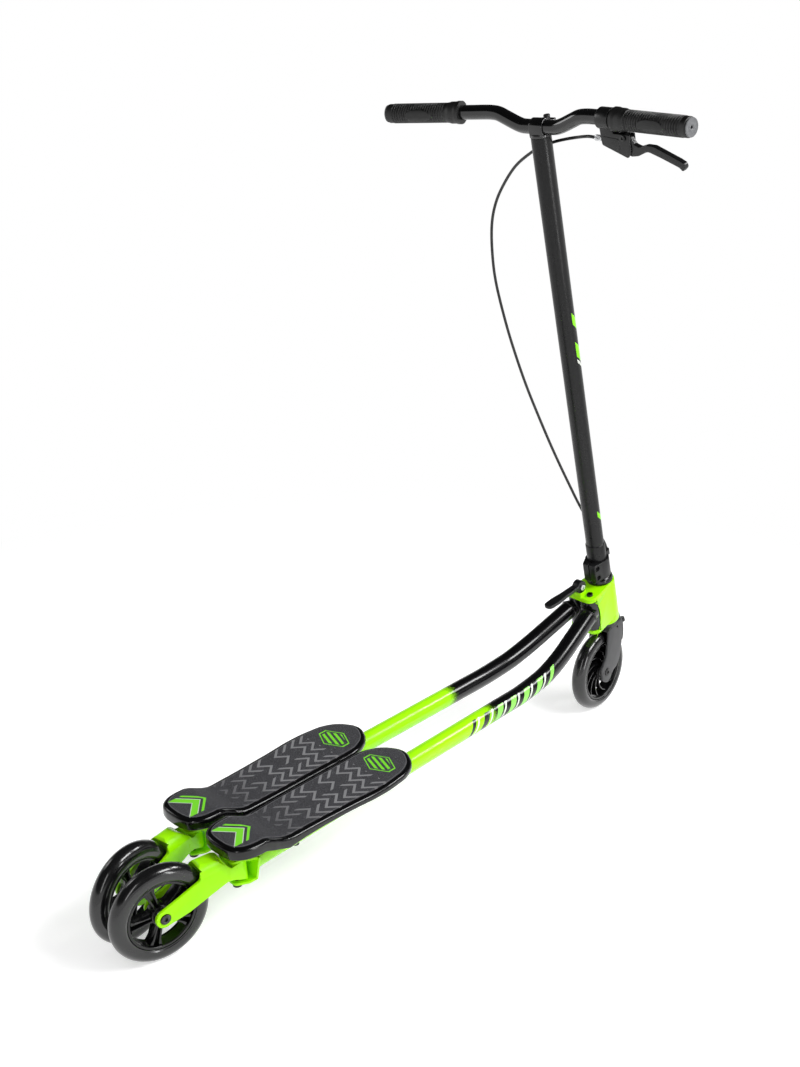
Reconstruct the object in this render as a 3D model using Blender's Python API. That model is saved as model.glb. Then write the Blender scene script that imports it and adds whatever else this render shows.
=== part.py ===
"""Carving scooter: two hinged legs with foot decks, a steered front wheel and a hand brake.

All lengths are millimetres; MM turns them into metres when a piece is made.
The ground is z = 0, +Y points forward and +X is the rider's right.
The steering frame has its z axis on the steering axis and its y axis square to it, forward.
"""
import math

import bmesh
import bpy
from mathutils import Matrix, Vector

MM = 0.001
CLEAR = 0.3

# Overall sizes
WHEELBASE = 1005.0
WHEEL_RADIUS = 75.0
RAKE = 14.87
STEER_AT_REST = 5.3
TRAIL_LINE = 64.2
TUBE_RADIUS = 15.9
TUBE_WALL = 2.4

# Wheels
REAR_TYRE_WIDTH = 26.6
FRONT_TYRE_WIDTH = 27.0
REAR_RIM_RADIUS = 52.5
FRONT_RIM_RADIUS = 56.0
RIM_WALL = 3.2
AXLE_RADIUS = 4.0
BEARING_RADIUS = 11.0
BEARING_HALF_WIDTH = 9.0
REAR_SPOKES = 5
FRONT_SPOKES = 12

# Steering parts, heights measured along the steering axis from the ground
STEERER_RADIUS = 14.1
CROWN_TOP = 170.0
HEAD_BOTTOM = 180.0
HEAD_TOP = 267.0
HEAD_RADIUS = 25.5
BEARING_SEAT_RADIUS = 21.0
BEARING_SEAT_DEPTH = 7.6
CAP_TOP = 278.4
CLAMP_BOTTOM = 279.0
CLAMP_TOP = 314.3
CLAMP_RADIUS = 21.5
STEERER_TOP = 310.0
BAR_HEIGHT = 1097.0
STEM_DROP = 14.0
COLUMN_TOP = BAR_HEIGHT - STEM_DROP
COLUMN_BORE = 14.4
STEM_PLUG = 25.0
BAR_RADIUS = 11.1
BAR_WALL = 2.2
BAR_RISE = 19.1
BAR_SWEEP = 8.12
BAR_HALF_LENGTH = 270.1
STEM_HALF_WIDTH = 12.0
STEM_BOLT_AHEAD = 20.6
BAR_STRAIGHT_START = 92.0
BAR_BENDS = ((0.33, 0.02), (0.48, 0.24), (0.65, 0.61), (0.79, 0.93), (0.93, 1.0))
GRIP_LENGTH = 133.0
GRIP_RADIUS = 15.0
GRIP_FLANGE_RADIUS = 17.5
GRIP_FLANGE_LENGTH = 24.0

# Leg hinge on the head casting
PIN_SIDE = 16.5
PIN_BACK = 50.0
PIN_RADIUS = 3.0
PLATE_THICKNESS = 8.0
LOWER_PLATE_BOTTOM = 190.0
LOBE_RADIUS = 14.5
KNUCKLE_RADIUS = 13.6
NECK_BACK = 17.0
NECK_SIDE = 5.1
NECK_RISE = 5.5

# Lock lever
LOCK_BACK = 57.0
LOCK_HEIGHT = 286.0
LOCK_HUB_RADIUS = 11.2
LOCK_LENGTH = 89.0
LOCK_RISE = 8.0

# Legs and rear casters
CASTER_SIDE = 51.3
CASTER_AHEAD = 119.5
CASTER_HEIGHT = 97.0
LEG_SLOPE = 3.57
LEG_BEND_LENGTH = 258.0
LEG_BEND_DROP = 75.0
LEG_BEND_SPLAY = 23.3
LEG_BENDS = ((1.0, 1.0, 1.0), (0.966, 0.798, 0.952), (0.858, 0.585, 0.84), (0.747, 0.471, 0.731),
             (0.592, 0.353, 0.576), (0.386, 0.227, 0.377))
CASTER_TRAIL = 122.0
YOKE_AT_REST = 9.0
YOKE_HALF_HEIGHT = 18.2
YOKE_HALF_WIDTH = 20.5
YOKE_HALF_GAP = 15.5
BRACKET_WALL = 4.0
BRACKET_FRONT = 19.5
BRACKET_HALF_WIDTHS = (19.0, 31.0)
CASTER_BOLT_RADIUS = 4.0

# Decks
DECK_RIM = 7.6
DECK_WALL = 3.6
TAPE_THICKNESS = 1.0
DECK_BOLT_AHEAD = (230.0, 400.0)
KEEL_ENDS = (196.0, 436.0)
KEEL_HALF_WIDTH = 19.0

# Front brake
BRAKE_PIVOT = (43.5, 147.0)
PAD_GAP = 3.3
PAD_THICKNESS = 6.3
WIRE_AHEAD = 32.0
WIRE_RADIUS = 0.8
CABLE_RADIUS = 2.4
CABLE_END = 206.3
CABLE_LOOP_HEIGHT = 890.7
LEVER_PIVOT = (-116.0, -23.5)
LEVER_WIRE_ARM = 7.0

# Paint and metal colours, as (red, green, blue), metallic, roughness
FINISHES = {
    "green_paint": ((0.30, 0.86, 0.0), 0.0, 0.30),
    "black_paint": ((0.012, 0.012, 0.012), 0.0, 0.28),
    "satin_black_paint": ((0.035, 0.035, 0.035), 0.0, 0.45),
    "grey_paint": ((0.10, 0.10, 0.105), 0.0, 0.45),
    "black_plastic": ((0.015, 0.015, 0.015), 0.0, 0.35),
    "light_plastic": ((0.25, 0.25, 0.25), 0.0, 0.6),
    "rubber": ((0.02, 0.02, 0.02), 0.0, 0.8),
    "tyre": ((0.035, 0.035, 0.037), 0.0, 0.6),
    "grip_tape": ((0.06, 0.06, 0.065), 0.0, 0.9),
    "steel": ((0.55, 0.55, 0.55), 1.0, 0.35),
    "black_steel": ((0.03, 0.03, 0.03), 0.6, 0.4),
    "aluminium": ((0.75, 0.75, 0.75), 1.0, 0.3),
}

# Turns that lay a flat outline on its side
SIDE = Matrix(((0, 0, 1), (1, 0, 0), (0, 1, 0))).to_4x4()
FACE = Matrix(((1, 0, 0), (0, 0, -1), (0, 1, 0))).to_4x4()


def clear_scene():
    for thing in list(bpy.data.objects):
        bpy.data.objects.remove(thing)


def finish_material(name, finish):
    """A material of its own for one piece, taken from the list of finishes."""
    colour, metallic, roughness = FINISHES[finish]
    material = bpy.data.materials.new(name + "_" + finish)
    material.use_nodes = True
    shader = material.node_tree.nodes["Principled BSDF"]
    shader.inputs["Base Color"].default_value = (*colour, 1.0)
    shader.inputs["Metallic"].default_value = metallic
    shader.inputs["Roughness"].default_value = roughness
    material.diffuse_color = (*colour, 1.0)
    return material


def empty(name, matrix, parent=None):
    """A point that carries pieces; its z axis is the axis they turn on."""
    point = bpy.data.objects.new(name, None)
    bpy.context.scene.collection.objects.link(point)
    point.empty_display_size = 0.02
    point.parent = parent
    place = matrix.copy()
    place.translation = place.translation * MM
    point.matrix_basis = place
    return point


def part(name, body, finish, carrier, place=Matrix.Identity(4), sharp=35.0):
    """Make the finished object from a body in millimetres."""
    body = body.copy()
    body.transform(place)
    bmesh.ops.recalc_face_normals(body, faces=body.faces)
    if body.calc_volume(signed=True) < 0:
        bmesh.ops.reverse_faces(body, faces=body.faces)
    body.transform(Matrix.Scale(MM, 4))
    mesh = bpy.data.meshes.new(name)
    body.to_mesh(mesh)
    body.free()
    mesh.materials.append(finish_material(name, finish))
    mesh.shade_smooth()
    mesh.set_sharp_from_angle(angle=math.radians(sharp))
    thing = bpy.data.objects.new(name, mesh)
    bpy.context.scene.collection.objects.link(thing)
    thing.parent = carrier
    return thing


def turn(degrees, axis):
    return Matrix.Rotation(math.radians(degrees), 4, axis)


def shift(x, y, z):
    return Matrix.Translation((x, y, z))


def aim(start, end):
    """The frame with its origin at start and its z axis pointing to end."""
    start, end = Vector(start), Vector(end)
    spin = Vector((0, 0, 1)).rotation_difference(end - start)
    return Matrix.Translation(start) @ spin.to_matrix().to_4x4()


def moved(body, matrix):
    body = body.copy()
    body.transform(matrix)
    return body


def mirrored(body):
    """The same body on the other side of x = 0."""
    return moved(body, Matrix.Scale(-1, 4, (1, 0, 0)))


def from_rings(rings, start=True, end=True, loop=False):
    """Skin a list of rings that have the same number of points."""
    body = bmesh.new()
    made = [[body.verts.new(point) for point in ring] for ring in rings]
    pairs = list(zip(made, made[1:]))
    if loop:
        pairs.append((made[-1], made[0]))
    for low, high in pairs:
        count = len(low)
        for i in range(count):
            j = (i + 1) % count
            corners = [low[i], low[j], high[j], high[i]]
            if (low[i].co - low[j].co).length < 1e-6:
                corners = [low[i], high[j], high[i]]
            elif (high[i].co - high[j].co).length < 1e-6:
                corners = [low[i], low[j], high[i]]
            body.faces.new(corners)
    if start and not loop:
        body.faces.new(made[0])
    if end and not loop:
        body.faces.new(made[-1])
    bmesh.ops.remove_doubles(body, verts=body.verts, dist=1e-5)
    bmesh.ops.recalc_face_normals(body, faces=body.faces)
    return body


def steps_for(radius):
    """How many flats a round piece of this radius gets."""
    for limit, steps in ((4.5, 10), (9.0, 12), (13.0, 16), (20.0, 20), (30.0, 24)):
        if radius < limit:
            return steps
    return 36


def lathe(profile, steps=0):
    """Turn a profile of (radius, height) points about the z axis."""
    steps = steps or steps_for(max(radius for radius, height in profile))
    rings = []
    for radius, height in profile:
        ring = []
        for i in range(steps):
            angle = 2 * math.pi * i / steps
            ring.append((radius * math.cos(angle), radius * math.sin(angle), height))
        rings.append(ring)
    open_ends = profile[0][0] > 0 and profile[-1][0] > 0
    return from_rings(rings, start=False, end=False, loop=open_ends)


def rod(start, end, radius, edge=0.0):
    """A solid bar between two points, with its end edges cut by edge."""
    length = (Vector(end) - Vector(start)).length
    profile = [(0, 0), (radius - edge, 0), (radius, edge), (radius, length - edge),
               (radius - edge, length), (0, length)]
    if edge == 0.0:
        profile = [(0, 0), (radius, 0), (radius, length), (0, length)]
    return moved(lathe(profile), aim(start, end))


def ring_tube(low, high, radius, bore, edge=0.0):
    """A short tube that stands on the z axis."""
    profile = [(bore, low), (radius - edge, low), (radius, low + edge), (radius, high - edge),
               (radius - edge, high), (bore, high)]
    if edge == 0.0:
        profile = [(bore, low), (radius, low), (radius, high), (bore, high)]
    return lathe(profile)


def bolt(start, end, radius, head_radius, head_height):
    """A bolt; its head lies behind start and the shank ends at end."""
    length = (Vector(end) - Vector(start)).length
    profile = [(0, -head_height), (head_radius, -head_height), (head_radius, 0), (radius, 0),
               (radius, length), (0, length)]
    return moved(lathe(profile), aim(start, end))


def offset_outline(outline, distance):
    """Move each corner of a flat outline inwards by distance."""
    count = len(outline)
    area = sum(outline[i][0] * outline[(i + 1) % count][1]
               - outline[(i + 1) % count][0] * outline[i][1] for i in range(count))
    way = 1.0 if area > 0 else -1.0
    moved_points = []
    for i, point in enumerate(outline):
        before = Vector(outline[i - 1][:2])
        here = Vector(point[:2])
        after = Vector(outline[(i + 1) % count][:2])
        first = (here - before).normalized()
        second = (after - here).normalized()
        first_normal = Vector((-first.y, first.x)) * way
        second_normal = Vector((-second.y, second.x)) * way
        middle = (first_normal + second_normal).normalized()
        reach = distance / max(0.5, middle.dot(first_normal))
        moved_points.append(tuple(here + middle * reach))
    return moved_points


def prism(outline, low, high, edge=0.0):
    """A flat outline given thickness along z, with its rims cut by edge."""
    levels = [(low, 0.0), (high, 0.0)]
    if edge > 0.0:
        levels = [(low, edge), (low + edge, 0.0), (high - edge, 0.0), (high, edge)]
    rings = []
    for height, inset in levels:
        flat = offset_outline(outline, inset) if inset else outline
        rings.append([(x, y, height) for x, y in flat])
    return from_rings(rings)


def box(low, high, edge=0.0):
    outline = [(low[0], low[1]), (high[0], low[1]), (high[0], high[1]), (low[0], high[1])]
    return prism(outline, low[2], high[2], edge)


def rounded(corners, steps=2):
    """Round each corner (x, y, radius) of a flat outline."""
    outline = []
    count = len(corners)
    for i, (x, y, radius) in enumerate(corners):
        here = Vector((x, y))
        before = Vector(corners[i - 1][:2]) - here
        after = Vector(corners[(i + 1) % count][:2]) - here
        if radius <= 0:
            outline.append((x, y))
            continue
        half = before.angle(after) / 2
        cut = min(radius / math.tan(half), before.length * 0.49, after.length * 0.49)
        radius = cut * math.tan(half)
        centre = here + (before.normalized() + after.normalized()).normalized() * (
            radius / math.sin(half))
        first = here + before.normalized() * cut - centre
        sweep = first.angle_signed(here + after.normalized() * cut - centre)
        for k in range(steps + 1):
            spot = first.copy()
            spot.rotate(Matrix.Rotation(-sweep * k / steps, 2))
            outline.append(tuple(centre + spot))
    return outline


def arc(centre, radius, start, end, steps):
    """Points on a circle from one angle to another, in degrees."""
    points = []
    for k in range(steps + 1):
        angle = math.radians(start + (end - start) * k / steps)
        points.append((centre[0] + radius * math.cos(angle), centre[1] + radius * math.sin(angle)))
    return points


def smooth_path(points, spacing):
    """Even points along a smooth curve through the route points."""
    points = [Vector(point) for point in points]
    ends = [points[0] * 2 - points[1]] + points + [points[-1] * 2 - points[-2]]
    fine = []
    for a, b, c, d in zip(ends, ends[1:], ends[2:], ends[3:]):
        for k in range(16):
            t = k / 16
            fine.append(0.5 * ((2 * b) + (c - a) * t + (2 * a - 5 * b + 4 * c - d) * t * t
                               + (3 * b - a - 3 * c + d) * t ** 3))
    fine.append(points[-1])
    lengths = [0.0]
    for start, end in zip(fine, fine[1:]):
        lengths.append(lengths[-1] + (end - start).length)
    count = max(2, round(lengths[-1] / spacing))
    even = []
    place = 0
    for k in range(count + 1):
        target = lengths[-1] * k / count
        while place < len(fine) - 2 and lengths[place + 1] < target:
            place += 1
        part_way = (target - lengths[place]) / (lengths[place + 1] - lengths[place])
        even.append(fine[place].lerp(fine[place + 1], part_way))
    return even


def pipe_rings(path, radius, steps):
    """Rings square to a path, each turned as little as possible from the last."""
    path = [Vector(point) for point in path]
    rings = []
    side = None
    for i, point in enumerate(path):
        ahead = path[min(i + 1, len(path) - 1)] - path[max(i - 1, 0)]
        ahead.normalize()
        if side is None:
            side = ahead.orthogonal().normalized()
        side = (side - ahead * side.dot(ahead)).normalized()
        other = ahead.cross(side)
        ring = []
        for k in range(steps):
            angle = 2 * math.pi * k / steps
            ring.append(point + side * (radius * math.cos(angle)) + other * (radius * math.sin(angle)))
        rings.append(ring)
    return rings


def pipe(path, radius, bore=0.0):
    """A round tube along a path, open at both ends when it has a bore."""
    steps = steps_for(radius)
    outside = pipe_rings(path, radius, steps)
    if bore == 0.0:
        return from_rings(outside)
    inside = pipe_rings(path, bore, steps)
    return from_rings(outside + inside[::-1], loop=True)


def combine(body, tools, operation):
    """Join tools to a body or cut them out of it."""
    joined = bmesh.new()
    for tool in tools:
        piece = bpy.data.meshes.new("tool")
        tool.to_mesh(piece)
        joined.from_mesh(piece)
        bpy.data.meshes.remove(piece)
    things = []
    for source in (body, joined):
        mesh = bpy.data.meshes.new("work")
        source.to_mesh(mesh)
        thing = bpy.data.objects.new("work", mesh)
        bpy.context.scene.collection.objects.link(thing)
        things.append(thing)
    change = things[0].modifiers.new("change", "BOOLEAN")
    change.operation = operation
    change.solver = "EXACT"
    change.use_self = len(tools) > 1
    change.object = things[1]
    bpy.context.view_layer.update()
    result = things[0].evaluated_get(bpy.context.evaluated_depsgraph_get()).to_mesh()
    changed = bmesh.new()
    changed.from_mesh(result)
    for thing in things:
        mesh = thing.data
        bpy.data.objects.remove(thing)
        bpy.data.meshes.remove(mesh)
    bmesh.ops.remove_doubles(changed, verts=changed.verts, dist=0.002)
    bmesh.ops.dissolve_degenerate(changed, edges=changed.edges, dist=0.002)
    return changed


def join(body, *tools):
    return combine(body, list(tools), "UNION")


def cut(body, *tools):
    return combine(body, list(tools), "DIFFERENCE")


def steering_point():
    """The height-zero point of the steering axis."""
    return Vector((0, WHEELBASE / 2 + TRAIL_LINE, 0))


def head_matrix():
    return Matrix.Translation(steering_point()) @ turn(RAKE, "X")


def front_axle_local():
    """The front axle as (ahead, height) in the steering frame."""
    local = head_matrix().inverted() @ Vector((0, WHEELBASE / 2, WHEEL_RADIUS))
    return local.y, local.z


# Wheels

def tyre_body(width, bore):
    """Rounded tyre, turned about x."""
    half = width / 2
    seat = half - 2.6
    crown = [(WHEEL_RADIUS - half + half * math.cos(a), half * math.sin(a))
             for a in (math.radians(-90 + 36 * k) for k in range(6))]
    profile = [(bore, -seat)] + [(bore + 2.2, -half + 0.8)] + crown
    profile += [(bore + 2.2, half - 0.8), (bore, seat)]
    return moved(lathe(profile), turn(90, "Y"))


def hub_body(rim_radius, half_width, spokes):
    """Rim and centre joined by spokes, turned about x."""
    outer = rim_radius - CLEAR
    rim = ring_tube(-half_width, half_width, outer, outer - RIM_WALL)
    centre = ring_tube(-half_width + 0.5, half_width - 0.5, 15.0, BEARING_RADIUS + CLEAR)
    body = join(rim, centre, *spokes)
    body = cut(body, rod((0, 0, -half_width - 2), (0, 0, half_width + 2), BEARING_RADIUS + CLEAR))
    return moved(body, turn(90, "Y"))


def rear_spokes(rim_radius, half_width):
    """Broad straight spokes, wider at the rim."""
    spokes = []
    for k in range(REAR_SPOKES):
        outline = [(13.0, -5.0), (rim_radius + 1.2, -7.5), (rim_radius + 1.2, 7.5), (13.0, 5.0)]
        spokes.append(moved(prism(outline, -half_width + 2.5, half_width - 2.5),
                            turn(360 * k / REAR_SPOKES + 54, "Z")))
    return spokes


def front_spokes(rim_radius, half_width):
    """Thin curved blades like those of a turbine."""
    spokes = []
    for k in range(FRONT_SPOKES):
        sides = ([], [])
        for i in range(4):
            radius = 13.0 + (rim_radius - 11.8) * i / 3
            lean = math.radians(50) * i / 3 + 2 * math.pi * k / FRONT_SPOKES
            for side, half in zip(sides, (-1.15, 1.15)):
                slide = half / radius * 1.25
                side.append((radius * math.cos(lean + slide), radius * math.sin(lean + slide)))
        outline = sides[0] + sides[1][::-1]
        spokes.append(prism(outline, -half_width + 3.0, half_width - 3.0))
    return spokes


def wheel_bearing_body(reach):
    """Both races and the spacer sleeve, turned about x."""
    bore = AXLE_RADIUS + CLEAR
    profile = [(bore, -reach), (6.6, -reach), (6.6, -BEARING_HALF_WIDTH),
               (BEARING_RADIUS, -BEARING_HALF_WIDTH), (BEARING_RADIUS, BEARING_HALF_WIDTH),
               (6.6, BEARING_HALF_WIDTH), (6.6, reach), (bore, reach)]
    return moved(lathe(profile), turn(90, "Y"))


# Steering pieces, all in the steering frame

def fork_outline():
    """Side view of the fork as (ahead, height), crown at the top and axle end below."""
    ahead, height = front_axle_local()
    shape = [(21.9, 80.9, 7), (16.3, 65.3, 8), (12.0, 53.3, 30), (5.8, 34.2, 30), (-5.0, 23.4, 12),
             (-17.2, 15.5, 11), (-18.0, -9.0, 12), (-6.0, -20.0, 11), (6.0, -21.5, 8),
             (18.0, -10.5, 14), (33.0, -7.0, 14), (43.5, 2.5, 14), (56.5, 29.0, 24),
             (64.0, 53.0, 24), (69.5, 81.0, 7)]
    return rounded([(ahead + x, height + y, radius) for x, y, radius in shape])


def fork_body():
    """Cast fork with its steerer tube."""
    ahead, height = front_axle_local()
    blades = moved(prism(fork_outline(), -21.2, 21.2), SIDE)
    seat = rod((0, 0, CROWN_TOP - 6), (0, 0, HEAD_BOTTOM - CLEAR), 20.8)
    steerer = rod((0, 0, CROWN_TOP), (0, 0, STEERER_TOP), STEERER_RADIUS)
    body = join(join(blades, seat), steerer)
    slot = rod((-16.7, ahead, height), (16.7, ahead, height), WHEEL_RADIUS + 3.5)
    hole = rod((-30, ahead, height), (30, ahead, height), AXLE_RADIUS + CLEAR)
    recess = rod((19.4, ahead, height), (30, ahead, height), 7.2)
    bore = rod((0, 0, CROWN_TOP - 60), (0, 0, STEERER_TOP + 5), STEERER_RADIUS - 2.2)
    return cut(cut(body, bore), slot, hole, recess)


def column_clamp_body():
    """Split clamp with two cross bolts and a guide for the brake cable."""
    flank = CLAMP_RADIUS - 0.8
    ears = [(flank, -4.0, 0), (12.5, -28.0, 2.5), (-12.5, -28.0, 2.5), (-flank, -4.0, 0)]
    body = ring_tube(CLAMP_BOTTOM, CLAMP_TOP, CLAMP_RADIUS, TUBE_RADIUS + CLEAR)
    body = join(body, prism(rounded(ears), CLAMP_BOTTOM, CLAMP_TOP),
                prism(rounded([(5.4, 16, 0), (5.4, 36, 5), (-5.4, 36, 5), (-5.4, 16, 0)]),
                      CLAMP_TOP - 12, CLAMP_TOP - 1))
    bore = rod((0, 0, CLAMP_BOTTOM - 5), (0, 0, CLAMP_TOP + 5), TUBE_RADIUS + CLEAR)
    slit = box((-0.9, -35, CLAMP_BOTTOM - 5), (0.9, -10, CLAMP_TOP + 5))
    tools = [bore, slit, rod((0, WIRE_AHEAD, CLAMP_TOP - 20), (0, WIRE_AHEAD, CLAMP_TOP + 5),
                             CABLE_RADIUS + 0.9)]
    for height in clamp_bolt_heights():
        tools.append(rod((-20, -22.5, height), (20, -22.5, height), 2.5 + CLEAR))
        tools.append(rod((10.0, -22.5, height), (20, -22.5, height), 4.6 + CLEAR))
    return cut(body, *tools)


def clamp_bolt_heights():
    middle = (CLAMP_BOTTOM + CLAMP_TOP) / 2
    return middle + 9.8, middle - 9.8


def column_body():
    """Steering tube with the wider sleeve above the clamp."""
    bore = COLUMN_BORE
    sleeve = TUBE_RADIUS + 1.4
    profile = [(bore, CLAMP_BOTTOM + 0.2), (TUBE_RADIUS, CLAMP_BOTTOM + 0.2),
               (TUBE_RADIUS, CLAMP_TOP + CLEAR), (sleeve - 0.4, CLAMP_TOP + CLEAR),
               (sleeve, CLAMP_TOP + CLEAR + 0.4), (sleeve, CLAMP_TOP + 30),
               (TUBE_RADIUS, CLAMP_TOP + 31.5), (TUBE_RADIUS, COLUMN_TOP), (bore, COLUMN_TOP)]
    return lathe(profile)


def stem_clamp_body():
    """Split clamp for the handlebar, with a plug inside the column top."""
    plug = rod((0, 0, COLUMN_TOP - STEM_PLUG), (0, 0, COLUMN_TOP + 2), COLUMN_BORE - CLEAR)
    neck = rod((0, 0, COLUMN_TOP + CLEAR), (0, 0, COLUMN_TOP + 5), TUBE_RADIUS)
    foot = 0.5 - STEM_DROP
    front = STEM_BOLT_AHEAD + 6.4
    shape = [(-BAR_RADIUS - 1.4, foot)] + arc((0, 0), BAR_RADIUS + 2.5, 180, 60, 5)
    shape += [(BAR_RADIUS + 1.9, 5.5), (front, 5.5), (front, -6.5), (BAR_RADIUS + 1.9, foot)]
    block = prism([(x, BAR_HEIGHT + z) for x, z in shape], -STEM_HALF_WIDTH, STEM_HALF_WIDTH)
    body = join(join(plug, neck), moved(block, SIDE))
    bar_hole = rod((-40, 0, BAR_HEIGHT), (40, 0, BAR_HEIGHT), BAR_RADIUS + CLEAR)
    slit = box((-40, 8, BAR_HEIGHT - 0.8), (40, 40, BAR_HEIGHT + 0.8))
    bolt_hole = rod((0, STEM_BOLT_AHEAD, BAR_HEIGHT - 30), (0, STEM_BOLT_AHEAD, BAR_HEIGHT + 30),
                    3.0 + CLEAR)
    return cut(body, bar_hole, slit, bolt_hole)


def bar_end_back():
    """How far the bar ends lie behind the middle of the bar."""
    return (BAR_HALF_LENGTH - BAR_STRAIGHT_START) * math.tan(math.radians(BAR_SWEEP))


def bar_path():
    """Centre line of the handlebar, left end to right end."""
    right = [(BAR_STRAIGHT_START * along, 0, BAR_RISE * up) for along, up in BAR_BENDS]
    start_back = 8 * math.tan(math.radians(BAR_SWEEP))
    right.append((BAR_STRAIGHT_START + 8, -start_back, BAR_RISE))
    right.append((BAR_HALF_LENGTH, -bar_end_back(), BAR_RISE))
    left = [(-x, y, z) for x, y, z in right[::-1]]
    return [Vector((x, y, z + BAR_HEIGHT)) for x, y, z in left + [(0, 0, 0)] + right]


def grip_matrix(side):
    """Frame at a bar end: x runs outwards along the bar, y forward, z up the steering axis."""
    place = Matrix.Translation((side * BAR_HALF_LENGTH, -bar_end_back(), BAR_HEIGHT + BAR_RISE))
    return place @ turn(-side * BAR_SWEEP, "Z")


def grip_body():
    """Ribbed rubber grip with a flange, for the right side."""
    bore = BAR_RADIUS + CLEAR
    profile = [(bore, -GRIP_LENGTH), (GRIP_FLANGE_RADIUS - 1, -GRIP_LENGTH)]
    profile += [(GRIP_FLANGE_RADIUS, -GRIP_LENGTH + 1), (GRIP_FLANGE_RADIUS, -GRIP_LENGTH + 5)]
    profile += [(GRIP_RADIUS + 1, -GRIP_LENGTH + 8), (GRIP_RADIUS + 0.6, -GRIP_LENGTH + 21)]
    profile += [(GRIP_RADIUS, -GRIP_LENGTH + GRIP_FLANGE_LENGTH), (GRIP_RADIUS, -2), (13.6, -0.6),
                (bore, -0.6)]
    return moved(lathe(profile), turn(90, "Y"))


def bar_plug_body():
    """Disc that closes the bar end, with its centre hole."""
    inner = BAR_RADIUS - BAR_WALL - CLEAR
    profile = [(2.4, -16), (inner, -16), (inner, 0.3), (13.2, 0.3), (12.6, 2.4), (3.6, 2.4)]
    return moved(lathe(profile), turn(90, "Y"))


# Front brake, in the steering frame

def brake_bracket_body():
    """Bracket bolted to the fork crown: two lugs for the arm and the cable stop."""
    side_view = [(22.0, 142.6, 0), (26.4, 166.8, 0), (28.6, 173.0, 2), (28.6, 187.0, 1),
                 (36.4, 187.0, 1), (36.4, 181.0, 3), (34.0, 172.0, 3), (36.0, 158.0, 6),
                 (48.6, 152.5, 5), (48.6, 141.9, 5), (32.0, 141.6, 3)]
    body = moved(prism(rounded(side_view), -9.0, 9.0), SIDE)
    stop = rod((0, WIRE_AHEAD, 180), (0, WIRE_AHEAD, CABLE_END - 3.6), 3.5)
    body = join(body, stop)
    narrow = [box((side * 5.0 if side > 0 else -12, 20, 170), (12 if side > 0 else -5.0, 60, 190))
              for side in (-1, 1)]
    slot = box((-5.4, 28.8, 130), (5.4, 60, 169.5))
    wire_hole = rod((0, WIRE_AHEAD, 160), (0, WIRE_AHEAD, 220), WIRE_RADIUS + 0.5)
    pivot = rod((-20, *BRAKE_PIVOT), (20, *BRAKE_PIVOT), 2.0 + CLEAR)
    return cut(body, *narrow, slot, wire_hole, pivot)


def brake_arm_body():
    """Arm that swings on the pivot: a horn for the wire above and the shoe carrier below."""
    axle = front_axle_local()
    pivot_x, pivot_z = BRAKE_PIVOT
    carrier = arc(axle, WHEEL_RADIUS + PAD_GAP + PAD_THICKNESS + CLEAR, 33.5, 17.5, 4)
    outline = arc(BRAKE_PIVOT, 4.6, -20, 130, 4)
    outline += [(38.6, pivot_z + 10.5), (36.4, pivot_z + 12.8), (29.6, pivot_z + 12.8),
                (29.6, pivot_z + 9.2), (35.0, pivot_z + 9.2), (35.0, pivot_z + 2.0)]
    outline += carrier
    outline += [(38.2, 103.2), (40.6, 104.2), (43.8, 112.0), (46.0, 122.0), (47.6, 134.0)]
    body = moved(prism(outline, -5.0, 5.0), SIDE)
    wire_slot = box((-1.3, 20, pivot_z + 4), (1.3, 35.0, pivot_z + 30))
    hole = rod((-20, pivot_x, pivot_z), (20, pivot_x, pivot_z), 2.0 + CLEAR)
    return cut(body, wire_slot, hole)


def brake_pad_body():
    axle = front_axle_local()
    outline = arc(axle, WHEEL_RADIUS + PAD_GAP, 18.5, 32.5, 4)
    outline += arc(axle, WHEEL_RADIUS + PAD_GAP + PAD_THICKNESS, 32.5, 18.5, 4)
    return moved(prism(outline, -4.8, 4.8), SIDE)


def brake_wire_body():
    """Bare wire below the cable stop with its end barrel under the horn."""
    horn_under = BRAKE_PIVOT[1] + 9.2 - 0.5
    profile = [(0, horn_under - 4.0), (2.2, horn_under - 4.0), (2.2, horn_under),
               (WIRE_RADIUS, horn_under), (WIRE_RADIUS, CABLE_END - 8), (0, CABLE_END - 8)]
    return moved(lathe(profile), shift(0, WIRE_AHEAD, 0))


def lever_bracket_body():
    """Collar on the bar and the housing that holds the lever, in the right grip frame."""
    collar = rod((-160, 0, 0), (-137, 0, 0), 15.6)
    shape = [(-160.0, -6.0, 0), (-157.0, -37.8, 4), (-110.0, -53.5, 4), (-104.5, -44.0, 4),
             (-104.5, -19.0, 2), (-134.5, -19.0, 0), (-137.0, -14.0, 0), (-137.0, -6.0, 0)]
    house = moved(prism(rounded(shape), -7.2, 7.2, 1.2), FACE)
    body = join(collar, house)
    bar_hole = rod((-170, 0, 0), (-120, 0, 0), BAR_RADIUS + CLEAR)
    slot = box((-128.0, -4.9, -60), (-90, 4.9, -10))
    wire_line = LEVER_PIVOT[1] - LEVER_WIRE_ARM
    wire_hole = rod((-170, 0, wire_line), (-120, 0, wire_line), 2.9 + CLEAR)
    pivot = rod((LEVER_PIVOT[0], -20, LEVER_PIVOT[1]), (LEVER_PIVOT[0], 20, LEVER_PIVOT[1]),
                2.5 + CLEAR)
    return cut(body, bar_hole, slot, wire_hole, pivot)


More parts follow.
